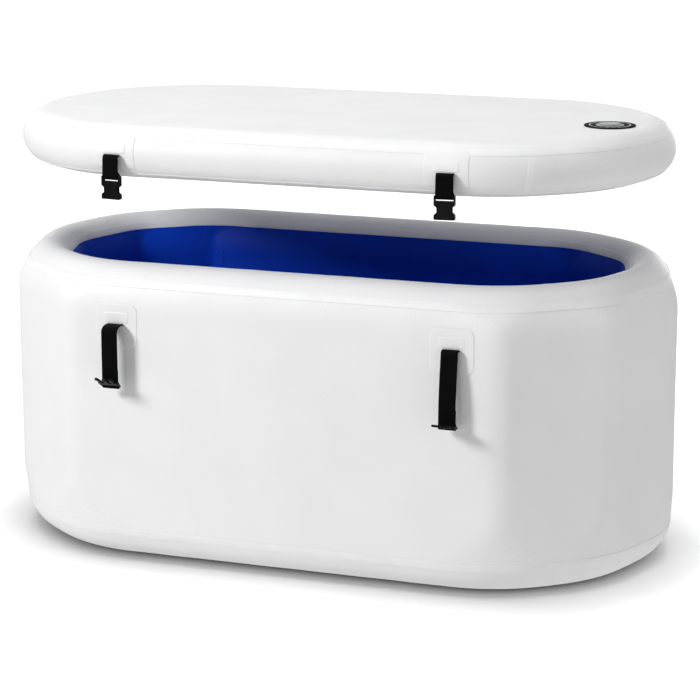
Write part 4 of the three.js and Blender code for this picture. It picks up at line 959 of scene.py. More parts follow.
@dataclass
class TubShell:
    """The tub's welded shell: wall, rounded rails, liner, floor, base sheet and their tapes.

    Attributes:
        height: height of the rim.
        wall: thickness of the inflated wall.
        arch: height of the rail's half ellipse.
        foot: radius of the bottom rail.
        flange: width of the flange under the bottom rail.
        rail_foot: height of the bottom rail's underside.
        inside_foot: height of the liner's lower edge.
        floor: height of the floor's top layer.
        skin: thickness of a skin.
        seam_heights: heights of the bottom, top and inner seams.
        tape_width: width of a seam tape.
        tape: thickness of a seam tape.
        gap: gap between pieces that touch.
        corner_leg: leg of the floor's corner tape.
        valve: the wall valve's place along x and z.
        drain: the drain's place along x and z.
        holes: radii of the holes for the valve and the drain.
    """

    height: float = 669.0
    wall: float = 127.0
    arch: float = 102.0
    foot: float = 82.0
    flange: float = 40.0
    rail_foot: float = 1.8
    inside_foot: float = 3.3
    floor: float = 76.0
    skin: float = 1.2
    seam_heights: Tuple[float, float, float] = (66.0, 631.0, 642.0)
    tape_width: float = 19.0
    tape: float = 0.8
    gap: float = 0.3
    corner_leg: float = 20.0
    valve: Tuple[float, float] = (190.0, 419.0)
    drain: Tuple[float, float] = (-190.0, 134.5)
    holes: Tuple[float, float] = (21.3, 30.0)

    def __post_init__(self) -> None:
        """Works out the section's line and where its seams are."""
        self.section = self.trace()
        walks = self.section.walk
        top = int(np.argmax(self.section.height))
        low, high, inner = self.seam_heights
        first = int(np.searchsorted(self.section.inset[:top] < self.foot - 1e-6, True))
        self.seams = (
            float(np.interp(low, self.section.height[first:top], walks[first:top])),
            float(np.interp(high, self.section.height[first:top], walks[first:top])),
            float(np.interp(-inner, -self.section.height[top:], walks[top:])),
        )
        self.top = float(walks[top])

    def trace(self) -> Section:
        """The wall's line: flange, quarter-circle foot, flat outside, half-ellipse rail, flat inside.

        Returns:
            The section.
        """
        spring = self.height - self.arch
        foot_top = self.rail_foot + self.foot
        turn = np.linspace(math.pi / 2, 0, 19)
        over = np.linspace(0, math.pi, 61)
        rise = np.linspace(foot_top, spring, 49)
        fall = np.linspace(spring, self.inside_foot, 49)
        under = np.linspace(self.foot + self.flange, self.foot, 5)
        inset = np.concatenate([
            under, self.foot * (1 - np.cos(turn)), np.zeros_like(rise),
            self.wall / 2 * (1 - np.cos(over)), np.full_like(fall, self.wall)])
        height = np.concatenate([
            np.full_like(under, self.rail_foot), foot_top - self.foot * np.sin(turn), rise,
            spring + self.arch * np.sin(over), fall])
        rim = smoothstep(height, self.height - 78, self.height - 16)
        base = 1 - smoothstep(height, 62, 170)
        out = np.arange(len(height)) < len(height) - len(fall) - len(over) // 2
        share = np.where(out, np.maximum(rim, base), rim)
        return Section.through(inset, height, WALL_BEND + (OVAL_BEND - WALL_BEND) * share)

    def ripple(self, along: Array, walk: Array) -> Array:
        """Puckers of the skin beside the welded seams: short waves that fade away from the tape.

        Args:
            along: distance round the plan.
            walk: distance along the section.

        Returns:
            Height of the skin over its smooth form.
        """
        total = PLAN.lengths(WALL_BEND)[-1]
        low, high, inner = self.seams
        phase = 2 * math.pi * along / total
        wave = np.sin(97 * phase + 1.3 * np.sin(11 * phase)) + 0.6 * np.sin(61 * phase + 2.0)
        slow = np.sin(17 * phase + 0.6) * np.sin(walk / 61) + np.sin(29 * phase + walk / 83)
        near = sum(np.exp(-np.abs(walk - seam) / 22) for seam in (low, high, inner))
        return 0.22 * wave * near + 0.16 * slow

    def build(self) -> None:
        """Builds and dresses every piece of the shell."""
        low, high, inner = self.seams
        half = self.gap / 2
        end = float(self.section.walk[-1])
        parts = (
            ("bottom_rail_skin", 0.0, low - half, 40, RAIL_CLOTH, ["bottom_rail"]),
            ("wall_skin", low + half, high - half, 72, SHELL_CLOTH, ["wall_outer_skin"]),
            ("top_rail_skin", high + half, inner - half, 64, RAIL_CLOTH, ["top_rail_front", "top_rail_rear"]),
            ("liner_skin", inner + half, end, 72, LINER_CLOTH, [
                "liner_front", "liner_right", "liner_rear", "liner_left"]),
        )
        for name, start, stop, steps, finish, nodes in parts:
            loop = skin_loop(start, stop, steps, self.skin)
            piece = lattice(name, self.section.sweep(loop, self.ripple), self.section.flat(loop), round_rows=True)
            self.cut_holes(name, piece)
            settle(piece, "tub", finish, nodes)
        for name, seam, node in zip(("tape_bottom", "tape_top", "tape_inner"), self.seams,
                                    ("seam_tape_bottom", "seam_tape_top", "seam_tape_inner")):
            loop = tape_loop(seam - self.tape_width / 2, seam + self.tape_width / 2, 10, self.gap, self.tape)
            piece = lattice(name, self.section.sweep(loop, self.ripple), self.section.flat(loop), round_rows=True)
            settle(piece, "tub", TAPE_FILM, [node])
        self.floor_pieces()
        self.laps()
        for node in ("wall_threads", "floor_threads"):
            dress_solid(node, SPUN_THREAD)

    def cut_holes(self, name: str, piece: bpy.types.Object) -> None:
        """Cuts the fittings' holes through the rear wall."""
        rear = PLAN.side_half_width
        valve, drain = self.holes
        if name == "wall_skin":
            pierce(piece, np.array([self.valve[0], rear, self.valve[1]]), np.array([0, 1, 0]), valve, 20)
        if name in ("wall_skin", "liner_skin"):
            pierce(piece, np.array([self.drain[0], rear - self.wall / 2, self.drain[1]]),
                   np.array([0, 1, 0]), drain, self.wall + 20)

    def floor_pieces(self) -> None:
        """Builds the floor's top layer, its corner tape and the base sheet."""
        inset = self.wall + self.gap
        layers = (
            ("floor_skin", inset, WALL_BEND, self.floor, self.skin, LINER_CLOTH, "floor_liner"),
            ("base_skin", self.foot, OVAL_BEND, 0.0, 1.5, RAIL_CLOTH, "base_sheet"),
        )
        for name, edge, bend, low, thickness, finish, node in layers:
            settle(flat_layer(name, edge, bend, low, thickness), "tub", finish, [node])
        foot = self.floor + self.skin + self.gap
        leg, tape = self.corner_leg, self.tape
        profile = softened(np.array([
            [0, 0], [leg, 0], [leg, tape], [tape * 6, tape * 1.6], [tape * 1.6, tape * 6], [tape, leg], [0, leg],
        ]), 1.2)
        ring = PLAN.rings(inset + profile[:, 0], np.full(len(profile), WALL_BEND))
        grid = np.concatenate([ring, np.broadcast_to((foot + profile[:, 1])[:, None, None], ring.shape[:2] + (1,))], axis=2)
        along = PLAN.lengths(WALL_BEND)
        line = walked(np.concatenate([profile, profile[:1]]))
        flat = np.stack(np.broadcast_arrays(along[None], line[:, None]), axis=-1)
        piece = lattice("tape_floor", grid, flat, round_rows=True)
        settle(piece, "tub", BLUE_FILM, ["floor_corner_tape"])

    def laps(self) -> None:
        """Welds the overlaps where lengths of rail and liner cloth meet: low strips across the panel."""
        low, high, inner = self.seams
        tape = self.tape_width / 2
        rail, liner = (high + tape, self.top - 25), (inner + 58, inner + 545)
        strips = [(f"rail_lap_{side.name.lower()}", side.value * 319.0, side, rail, 14.0, TAPE_FILM, 0.0, OVAL_BEND)
                  for side in Side]
        strips += [(f"liner_lap_{side.name.lower()}_{end}", x, side, liner, 46.0, LINER_CLOTH, self.wall, WALL_BEND)
                   for side in Side for end, x in (("left", -446.0), ("right", 446.0))]
        for name, x, side, (start, stop), width, finish, inset, bend in strips:
            shape = PatchShape(width, stop - start, 1.2, 0.4, base=0.45, steps=33)
            middle = PLAN.column(x, side, bend, inset)

            def place(across: Array, up: Array, offset: Array) -> Array:
                """Points of the strip on the wall's skin."""
                column = PLAN.stepped(middle, across, inset, bend)
                return self.section.on(column, (start + stop) / 2 + up, offset)

            settle(shape.piece(name, place), "tub", finish)


def flat_layer(name: str, edge: float, bend: float, low: float, thickness: float) -> bpy.types.Object:
    """A flat sheet: plan curves that shrink to the middle, above and below, with a rounded edge.

    Args:
        name: the piece's name.
        edge: inset of the sheet's edge.
        bend: radius of its bends.
        low: height of its underside.
        thickness: its thickness.

    Returns:
        The new object.
    """
    rim = PLAN.rings(np.full(1, edge), np.full(1, bend))[0]
    share = np.concatenate([np.linspace(0.04, 1, 14), [1.0], np.linspace(1, 0.04, 14)])
    height = np.concatenate([np.full(13, thickness), [thickness, thickness / 2, 0], np.zeros(13)]) + low
    share[[13, 15]] -= 0.0006
    ring = rim[None] * share[:, None, None]
    grid = np.concatenate([ring, np.broadcast_to(height[:, None, None], ring.shape[:2] + (1,))], axis=2)
    flat = np.concatenate([ring, ring[:, :1]], axis=1)
    poles = [np.array([0, 0, height[k]]) for k in (0, -1)]
    return lattice(name, grid, flat, poles=poles)


def dress_solid(node: str, finish: Finish) -> None:
    """Gives a solid that stays in sight its finish.

    Args:
        node: the solid's name.
        finish: its finish.
    """
    solid = frame["nodes"][node]
    solid.data.materials.clear()
    solid.data.materials.append(finish.material())
    LOG.info("%s keeps its solid: %s", node, finish.name)


# The lid


@dataclass
class InflatedLid:
    """The lid: a flat inflated panel whose edge is a half circle, welded from three skins.

    Attributes:
        inset: how far the edge lies inside the tub's outline.
        middle: height of the edge's middle.
        radius: half of the lid's thickness.
        skin: thickness of a skin.
        seams: angles of the upper and lower seams on the edge.
        gap: gap between the skins at a seam.
        hole: the valve's place along x and y, and the hole's radius.
    """

    inset: float = 9.0
    middle: float = 915.8
    radius: float = 57.5
    skin: float = 1.2
    seams: Tuple[float, float] = (36.0, -54.0)
    gap: float = 0.3
    hole: Tuple[float, float, float] = (624.0, -30.0, 21.3)

    def __post_init__(self) -> None:
        """Works out the edge's line from its top to its bottom: a half circle."""
        turn = np.radians(np.linspace(-90, 90, 91))
        self.section = Section.through(
            self.inset + self.radius * (1 - np.cos(turn)), self.middle + self.radius * np.sin(turn),
            np.full_like(turn, OVAL_BEND))

    def walk(self, angle: float) -> float:
        """Distance along the edge's line from its bottom to an angle, in degrees."""
        return math.radians(angle + 90) * self.radius

    def ripple(self, along: Array, walk: Array) -> Array:
        """Puckers of the edge beside its seams, and a slow unevenness of the inflated edge.

        Args:
            along: distance round the plan.
            walk: distance along the edge's line.

        Returns:
            Height of the skin over its smooth form.
        """
        phase = 2 * math.pi * along / PLAN.lengths(WALL_BEND)[-1]
        wave = np.sin(83 * phase + 1.7 * np.sin(13 * phase)) + 0.7 * np.sin(53 * phase + 1.0)
        slow = np.sin(13 * phase + walk / 70) + 0.7 * np.sin(31 * phase - walk / 45)
        near = sum(np.exp(-np.abs(walk - self.walk(a)) / 20) for a in self.seams)
        fade = smoothstep(walk, 0, 25) * (1 - smoothstep(walk, self.walk(90) - 25, self.walk(90)))
        return (0.2 * wave * near + 0.25 * slow) * fade

    def build(self) -> None:
        """Builds and dresses the lid's skins."""
        high, low = (self.walk(a) for a in self.seams)
        half = self.gap / 2
        loop = skin_loop(low + half, high - half, 36, self.skin)
        band = lattice("lid_band", self.section.sweep(loop, self.ripple), self.section.flat(loop), round_rows=True)
        settle(band, "lid", LID_CLOTH, ["lid_side_band"])
        top = self.capped("lid_top", high + half, self.walk(90), 1)
        pierce(top, np.array([self.hole[0], self.hole[1], self.middle + self.radius]), np.array([0, 0, 1]), self.hole[2], 12)
        settle(top, "lid", LID_CLOTH, ["lid_top_skin"])
        settle(self.capped("lid_bottom", low - half, 0.0, -1), "lid", LID_CLOTH, ["lid_bottom_skin"])
        self.welds()
        dress_solid("lid_threads", SPUN_THREAD)

    def capped(self, name: str, start: float, stop: float, side: int) -> bpy.types.Object:
        """A skin that covers one flat of the lid and turns over its edge to a seam.

        Rings run from the middle out to the edge and down it on the outer face, and back inside.

        Args:
            name: the piece's name.
            start: distance along the edge's line of the seam.
            stop: distance where the edge meets the flat.
            side: 1 for the top and -1 for the bottom.

        Returns:
            The new object.
        """
        walk = np.linspace(start, stop, 24)
        edge = [self.section.sweep(np.stack([walk, np.full_like(walk, o)], axis=1), self.ripple) for o in (0, -self.skin)]
        share = np.linspace(0.03, 1, 16)[:-1, None, None]
        flats = [np.concatenate([e[-1:, :, :2] * share, np.broadcast_to(e[-1:, :, 2:], (15, e.shape[1], 1))], axis=2)
                 for e in edge]
        grid = np.concatenate([flats[0], edge[0][::-1], edge[1], flats[1][::-1]])
        plan = grid[..., :2]
        # On the flat the pattern follows the plan, and down the edge it runs on by the edge's length
        reach = np.concatenate([np.zeros(15), stop - walk[::-1], stop - walk, np.zeros(15)]) * side
        spread = 1 + np.abs(reach)[:, None] / np.linalg.norm(plan, axis=2)
        flat = plan * spread[..., None]
        flat = np.concatenate([flat, flat[:, :1]], axis=1)
        poles = [np.array([0, 0, grid[k, 0, 2]]) for k in (0, -1)]
        return lattice(name, grid, flat, poles=poles)

    def welds(self) -> None:
        """Lays the thin weld lines along both seams, and the laps where the band's lengths meet."""
        for name, angle, under, over in (("lid_weld_upper", self.seams[0], 0.5, 17.0), ("lid_weld_lower", self.seams[1], 4.5, 4.5)):
            at = self.walk(angle)
            loop = tape_loop(at - under, at + over, 6, 0.12, 0.8, 1.2)
            piece = lattice(name, self.section.sweep(loop, self.ripple), self.section.flat(loop), round_rows=True)
            settle(piece, "lid", TAPE_FILM)
        start, stop = self.walk(self.seams[1]) + 4, self.walk(self.seams[0]) - 4
        for name, x, side in (("lid_lap_front", 546.0, Side.FRONT), ("lid_lap_rear", -546.0, Side.REAR)):
            middle = PLAN.column(x, side, OVAL_BEND, self.inset)

            def place(across: Array, up: Array, offset: Array) -> Array:
                """Points of the lap on the lid's edge, leaning as the band was cut."""
                column = PLAN.stepped(middle, across + 0.12 * up, self.inset, OVAL_BEND)
                return self.section.on(column, (start + stop) / 2 + up, offset)

            shape = PatchShape(16, stop - start, 1.2, 0.6, base=0.2)
            settle(shape.piece(name, place), "lid", TAPE_FILM)


# Straps, patches and buckles


@dataclass(frozen=True)
class Strap:
    """A webbing strap: rolled hem, level start, a bend, a fall, a turn round a bar, a sewn tail.

    Attributes:
        stand_off: how far from the hinge the fall starts.
        bow: how far the middle of the fall bows outwards.
        width: width of the webbing.
        thickness: thickness of the webbing.
        drop: fall of the bend.
        eye: radius of the turn round the buckle's bar.
        turn_up: length of the tail's way back from the bar to the fall.
        tail: length of the sewn tail.
    """

    stand_off: float
    bow: float = 0.0
    width: float = 38.0
    thickness: float = 1.8
    drop: float = 16.0
    eye: float = 4.976
    turn_up: float = 13.0
    tail: float = 24.0

    def fall(self, bar: Array) -> Tuple[Array, Array, Array]:
        """Where the fall ends and how it lies, in (outward, up) from the hinge.

        Args:
            bar: the bar's middle.

        Returns:
            The fall's foot beside the bar, its direction upwards and its face's direction outwards.
        """
        up = unit(np.array([self.stand_off, -self.drop]) - bar - [self.eye, 0])
        face = np.array([up[1], -up[0]])
        return bar + face * self.eye, up, face

    def path(self, bar: Array) -> Array:
        """The webbing's middle line in (outward, up) from the hinge.

        The bend is a cubic curve, the fall a straight line with a sine bow, the turn a half circle.

        Args:
            bar: the bar's middle.

        Returns:
            Points of the line, hem first.
        """
        foot, up, face = self.fall(bar)
        turn = np.linspace(-math.pi, math.pi / 2, 13)
        hem = 1.05 * np.stack([np.cos(turn), np.sin(turn) - 1], axis=1)
        t = np.linspace(0, 1, 21)[1:, None]
        ends = np.array([[0, 0], [self.stand_off / 2, 0], [self.stand_off, 0], [self.stand_off, -self.drop]])
        bend = ((1 - t) ** 3 * ends[0] + 3 * t * (1 - t) ** 2 * ends[1]
                + 3 * t ** 2 * (1 - t) * ends[2] + t ** 3 * ends[3])
        share = np.linspace(0, 1, 25)[1:, None]
        fall = ends[3] + (foot - ends[3]) * share + face * self.bow * np.sin(math.pi * share)
        swing = np.linspace(0, -math.pi, 17)[1:, None]
        loop = bar + self.eye * (np.cos(swing) * face + np.sin(swing) * up)
        s = np.linspace(0, 1, 11)[1:, None]
        inner = foot - face * self.thickness * 1.03
        back = loop[-1] + (inner - loop[-1]) * s * s * (3 - 2 * s) + up * self.turn_up * s
        sewn = back[-1] + up * np.linspace(0, self.tail, 9)[1:, None]
        return np.concatenate([hem, bend, fall, loop, back, sewn])

    def piece(self, name: str, hinge: Array, out: Array, bar: Array) -> bpy.types.Object:
        """Carries a flat profile with rounded selvedges along the path.

        Args:
            name: the piece's name.
            hinge: the hinge's place.
            out: horizontal direction away from the panel.
            bar: the bar's middle, in (outward, up) from the hinge.

        Returns:
            The new object.
        """
        path = self.path(bar)
        along = unit(np.gradient(path, axis=0))
        normal = np.stack([-along[:, 1], along[:, 0]], axis=1)
        loop = rounded_loop(self.width, self.thickness, self.thickness * 0.49, 3, 7)
        plane = np.stack([out, UP])
        side = np.cross(UP, out)
        grid = hinge + (path @ plane)[:, None] + side * loop[None, :, :1] + (normal @ plane)[:, None] * loop[None, :, 1:]
        wide = np.concatenate([loop[:, 0], loop[:1, 0]]) + self.width / 2
        flat = np.stack(np.broadcast_arrays(walked(path)[:, None], wide[None]), axis=-1)
        return lattice(name, grid, flat, caps=True, crease=60)

    def stitches(self, name: str, hinge: Array, out: Array, bar: Array) -> bpy.types.Object:
        """Rows of lock stitches over the tail: each stitch is a low bent bar on the webbing's face.

        Args:
            name: the piece's name.
            hinge: the hinge's place.
            out: horizontal direction away from the panel.
            bar: the bar's middle, in (outward, up) from the hinge.

        Returns:
            The new object.
        """
        foot, up, face = self.fall(bar)
        plane = np.stack([out, UP])
        side = np.cross(UP, out)
        across, rows = np.linspace(-15, 15, 10), np.array([self.turn_up + 3, self.turn_up + self.tail - 3])
        centres = np.stack(np.meshgrid(across, rows), axis=-1).reshape(-1, 1, 1, 2)
        t = np.linspace(-1, 1, 7)[:, None]
        angle = np.linspace(0, 2 * math.pi, 6, endpoint=False)[None]
        girth = 0.35 * np.sqrt(1 - 0.9 * t ** 2)
        length, wide, high = 1.25 * t, girth * np.cos(angle), girth * np.sin(angle) - 0.3 * t ** 2
        rise = self.thickness / 2 + high
        lean = (foot + (centres[..., 1] + wide)[..., None] * up + rise[..., None] * face) @ plane
        points = hinge + side * (centres[..., 0] + length)[..., None] + lean
        number = np.arange(42).reshape(7, 6)
        wrapped = np.concatenate([number, number[:, :1]], axis=1)
        cells = np.stack([c.ravel() for c in (wrapped[:-1, :-1], wrapped[1:, :-1], wrapped[1:, 1:], wrapped[:-1, 1:])], axis=1)
        first = 42 * np.arange(len(centres))[:, None, None]
        faces = (cells[None] + first).reshape(-1, 4)
        ends = (number[[0, -1]][None] + first).reshape(-1, 6)
        mesh = bpy.data.meshes.new(name)
        mesh.from_pydata((points.reshape(-1, 3) * MM).tolist(), [], faces.tolist() + ends.tolist())
        work = bmesh.new()
        work.from_mesh(mesh)
        bmesh.ops.recalc_face_normals(work, faces=work.faces)
        work.to_mesh(mesh)
        work.free()
        finish_mesh(mesh, 60)
        piece = bpy.data.objects.new(name, mesh)
        bpy.context.scene.collection.objects.link(piece)
        return piece


def eased_copy(node: str, name: str, radius: float) -> bpy.types.Object:
    """A copy of a moulded solid with its edges rounded.

    The copy's loose triangles are merged, flat faces are joined, and a bevel rounds the edges.

    Args:
        node: the solid's name.
        name: the new piece's name.
        radius: radius of the edges.

    Returns:
        The new object.
    """
    work = bmesh.new()
    work.from_mesh(frame["nodes"][node].data)
    bmesh.ops.remove_doubles(work, verts=work.verts, dist=0.02 * MM)
    bmesh.ops.dissolve_limit(work, angle_limit=math.radians(1.0), verts=work.verts, edges=work.edges)
    mesh = bpy.data.meshes.new(name)
    work.to_mesh(mesh)
    work.free()
    mesh.shade_smooth()
    mesh.set_sharp_from_angle(angle=math.radians(30))
    piece = bpy.data.objects.new(name, mesh)
    bpy.context.scene.collection.objects.link(piece)
    edge = piece.modifiers.new("edges", "BEVEL")
    edge.width = radius * MM
    edge.segments = 3
    edge.limit_method = "ANGLE"
    edge.angle_limit = math.radians(28)
    edge.harden_normals = True
    return piece


@dataclass
class StrapStation:
    """One station on a long side: tub strap and lid strap with their patches and buckle halves.

    Attributes:
        name: the station's name.
        side: front or rear.
        tub_x: place of the tub's strap along the tub.
        root: height of the tub strap's root.
        tub_strap: the tub's strap.
        lid_x: place of the lid's strap along the tub.
        lid: the lid, whose edge carries the lid's patch.
        lid_strap: the lid's strap.
    """

    name: str
    side: Side
    tub_x: float
    root: float
    tub_strap: Strap
    lid_x: float
    lid: InflatedLid
    lid_strap: Strap = Strap(9, eye=6.6)

    def joint(self, kind: str) -> Tuple[Array, Array]:
        """Anchor of one of the station's joints and the way out from the panel there.

        Args:
            kind: the first words of the joint's name.

        Returns:
            The anchor in millimetres and a level unit vector away from the tub.
        """
        found = next(j for j in frame["joints"] if j["name"] == f"{kind}_{self.name}")
        axis = np.array(found["axis"], float)
        out = unit(np.cross(axis, [0, 0, 1]))
        return np.array(found["pos_m"], float) / MM, out * np.sign(out[1] * self.side.value)

    def build(self) -> None:
        """Builds and dresses the station's pieces."""
        self.patches()
        rows = (
            ("tub_strap", "tub_strap_swing", "male_buckle_swing", self.tub_strap),
            ("lid_strap", "lid_strap_swing", "female_buckle_swing", self.lid_strap),
        )
        for kind, hinge_joint, bar_joint, strap in rows:
            hinge, out = self.joint(hinge_joint)
            bar, _ = self.joint(bar_joint)
            node = f"{kind}_{self.name}"
            reach = np.array([(bar - hinge) @ out, (bar - hinge) @ UP])
            settle(strap.piece(f"{kind}_webbing_{self.name}", hinge, out, reach), node, WEBBING, [node])
            if kind == "tub_strap":
                settle(strap.stitches(f"{kind}_stitches_{self.name}", hinge, out, reach), node, BUCKLE_PLASTIC)
        for kind in ("male", "female"):
            node = f"buckle_{kind}_{self.name}"
            settle(eased_copy(node, f"clip_{kind}_{self.name}", 0.6), node, BUCKLE_PLASTIC, [node])

    def patches(self) -> None:
        """Welds the patches and the raised keepers that hold both straps."""
        sign = self.side.value

        def on_wall(across: Array, up: Array, offset: Array) -> Array:
            """Points on the flat long side, across and up from the strap's root."""
            y = sign * (PLAN.side_half_width + offset)
            return np.column_stack([self.tub_x + across, y, self.root + up])

        def raised(place: Callable[[Array, Array, Array], Array], lift: float) -> Callable[[Array, Array, Array], Array]:
            """Moves a place along the panel, away from the strap's root."""
            return lambda across, up, offset: place(across, up + lift, offset)

        node = f"tub_patch_{self.name}"
        plate = PatchShape(98, 96, 16, 0.8)
        settle(plate.piece(f"patch_tub_{self.name}", raised(on_wall, -6)), "tub", PATCH_FILM, [node])
        keeper = PatchShape(58, 23, 6, 1.2, 1.0, base=0.9)
        settle(keeper.piece(f"keeper_tub_{self.name}", raised(on_wall, 11.5)), "tub", PATCH_FILM, [node])

        section = self.lid.section
        middle = PLAN.column(self.lid_x, self.side, OVAL_BEND, self.lid.inset)
        at = self.lid.walk(0)

        def on_edge(across: Array, up: Array, offset: Array) -> Array:
            """Points on the lid's round edge, across and up from its middle."""
            return section.on(PLAN.stepped(middle, across, self.lid.inset, OVAL_BEND), at + up, offset)

        node = f"lid_patch_{self.name}"
        high, low = self.lid.walk(52) - at, self.lid.walk(-34) - at
        plate = PatchShape(98, high - low, 3, 0.8, base=0.5)
        settle(plate.piece(f"patch_lid_{self.name}", raised(on_edge, (high + low) / 2)), "lid", PATCH_FILM, [node])
        keeper = PatchShape(58, 22, 6, 1.2, 1.0, base=1.3)
        settle(keeper.piece(f"keeper_lid_{self.name}", raised(on_edge, 11)), "lid", PATCH_FILM, [node])


# Turned fittings


@dataclass(frozen=True)
class Spindle:
    """A turned form: a closed profile of (radius, height) spun about an axis.

    Attributes:
        centre: where the axis meets the panel's outer face.
        axis: direction of the axis.
        turns: columns round the axis.
    """

    centre: Tuple[float, float, float]
    axis: Tuple[float, float, float]
    turns: int = 96

    def spun(
        self, name: str, profile: Array, rounding: float, lobes: int = 0, depth: float = 0.0,
        grip: Tuple[float, float] = (0.0, 0.0),
    ) -> bpy.types.Object:
        """Spins a rounded profile, with an optional wavy grip.

        The radius of points outside the grip's first radius and above its height is reduced by
        depth times half of 1 - cos(lobes times the angle).

        Args:
            name: the piece's name.
            profile: corner points of the closed profile.
            rounding: radius of its corners.
            lobes: waves of the grip.
            depth: depth of the waves.
            grip: radius and height past which the grip starts.

        Returns:
            The new object.
        """
        line = softened(np.asarray(profile, float), rounding)
        angle = np.linspace(0, 2 * math.pi, self.turns, endpoint=False)
        radius = np.broadcast_to(line[:, :1], (len(line), self.turns)).copy()
        if lobes:
            held = smoothstep(line[:, 0], grip[0], grip[0] + 2) * (line[:, 1] >= grip[1])
            radius -= held[:, None] * depth * (1 - np.cos(lobes * angle))[None] / 2
        local = np.stack([radius * np.cos(angle), radius * np.sin(angle),
                          np.broadcast_to(line[:, 1:], radius.shape)], axis=-1)
        turned = np.array(Vector(self.axis).to_track_quat("Z", "X").to_matrix())
        grid = local @ turned.T + np.array(self.centre)
        turn = np.linspace(0, 1, self.turns + 1) / MM
        reach = np.concatenate([line[:, 0], line[:1, 0]])
        flat = np.stack(np.broadcast_arrays(turn[None], reach[:, None]), axis=-1)
        return lattice(name, grid, flat, round_rows=True)


@dataclass
class InflationValve:
    """A push valve in its ringed rubber pad, with a lobed screw cap.

    Attributes:
        name: the valve's name in the solids.
        body: the body that carries it.
        spindle: its axis.
    """

    name: str
    body: str
    spindle: Spindle

    def build(self) -> None:
        """Builds and dresses the valve's pieces; its inside keeps the solids."""
        pad = self.spindle.spun(f"{self.name}_ring", [[29.3, 0.3], [56, 0.3], [56, 2.5], [29.3, 2.5]], 0.6)
        settle(pad, self.body, VALVE_RUBBER, [f"{self.name}_pad"])
        cap = self.spindle.spun(f"{self.name}_lid", [
            [0.4, 4.5], [9, 4.5], [10.5, 5.0], [15.5, 5.0], [17, 5.7], [23, 5.7], [23, 3.0], [16.7, 3.0],
            [16.7, -1.0], [14.3, -1.0], [14.3, 3.4], [0.4, 3.4]], 0.7, lobes=8, depth=1.3, grip=(19.0, 2.9))
        settle(cap, f"{self.name}_cap", VALVE_PLASTIC, [f"{self.name}_cap"])
        settle(eased_copy(f"{self.name}_body", f"{self.name}_housing", 0.35), self.body, VALVE_PLASTIC, [f"{self.name}_body"])
        dress_solid(f"{self.name}_nut", FITTING_PLASTIC)
        dress_solid(f"{self.name}_plunger", VALVE_PLASTIC)
        dress_solid(f"{self.name}_spring", SPRING_WIRE)


@dataclass
class DrainFitting:
    """The drain through the rear wall: a flanged tube with a screw cap outside and a nut inside.

    Attributes:
        spindle: its axis, from the wall's outer face.
        wall: thickness of the wall.
    """

    spindle: Spindle
    wall: float = 127.0

    def build(self) -> None:
        """Builds and dresses the drain's pieces."""
        tube = self.spindle.spun("drain_tube", [
            [16.5, 19.3], [16.5, -140], [21, -140], [21, 0.3], [36, 0.3], [36, 2.3], [34, 4.3], [21, 4.3], [21, 19.3]], 0.6)
        settle(tube, "tub", FITTING_PLASTIC, ["drain_body"])
        cap = self.spindle.spun("drain_screw_cap", [
            [0.4, 23.6], [16, 23.6], [18, 22.6], [22, 22.6], [25, 23.6], [27, 21.6], [27, 4.6], [21.72, 4.6],
            [21.72, 19.6], [0.4, 19.6]], 0.7, lobes=24, depth=0.9, grip=(22.5, 4.0))
        settle(cap, "drain_cap", FITTING_PLASTIC, ["drain_cap"])
        seal = self.spindle.spun("drain_seal", [[21.3, -127.3], [21.3, -129.3], [33, -129.3], [33, -127.3]], 0.5)
        settle(seal, "tub", GASKET_RUBBER, ["drain_gasket"])
        nut = self.spindle.spun("drain_ring_nut", [
            [21.3, -129.6], [21.3, -137.6], [33, -137.6], [33, -129.6]], 0.8, lobes=16, depth=1.2, grip=(28.0, -200.0))
        settle(nut, "tub", FITTING_PLASTIC, ["drain_nut"])


# Studio


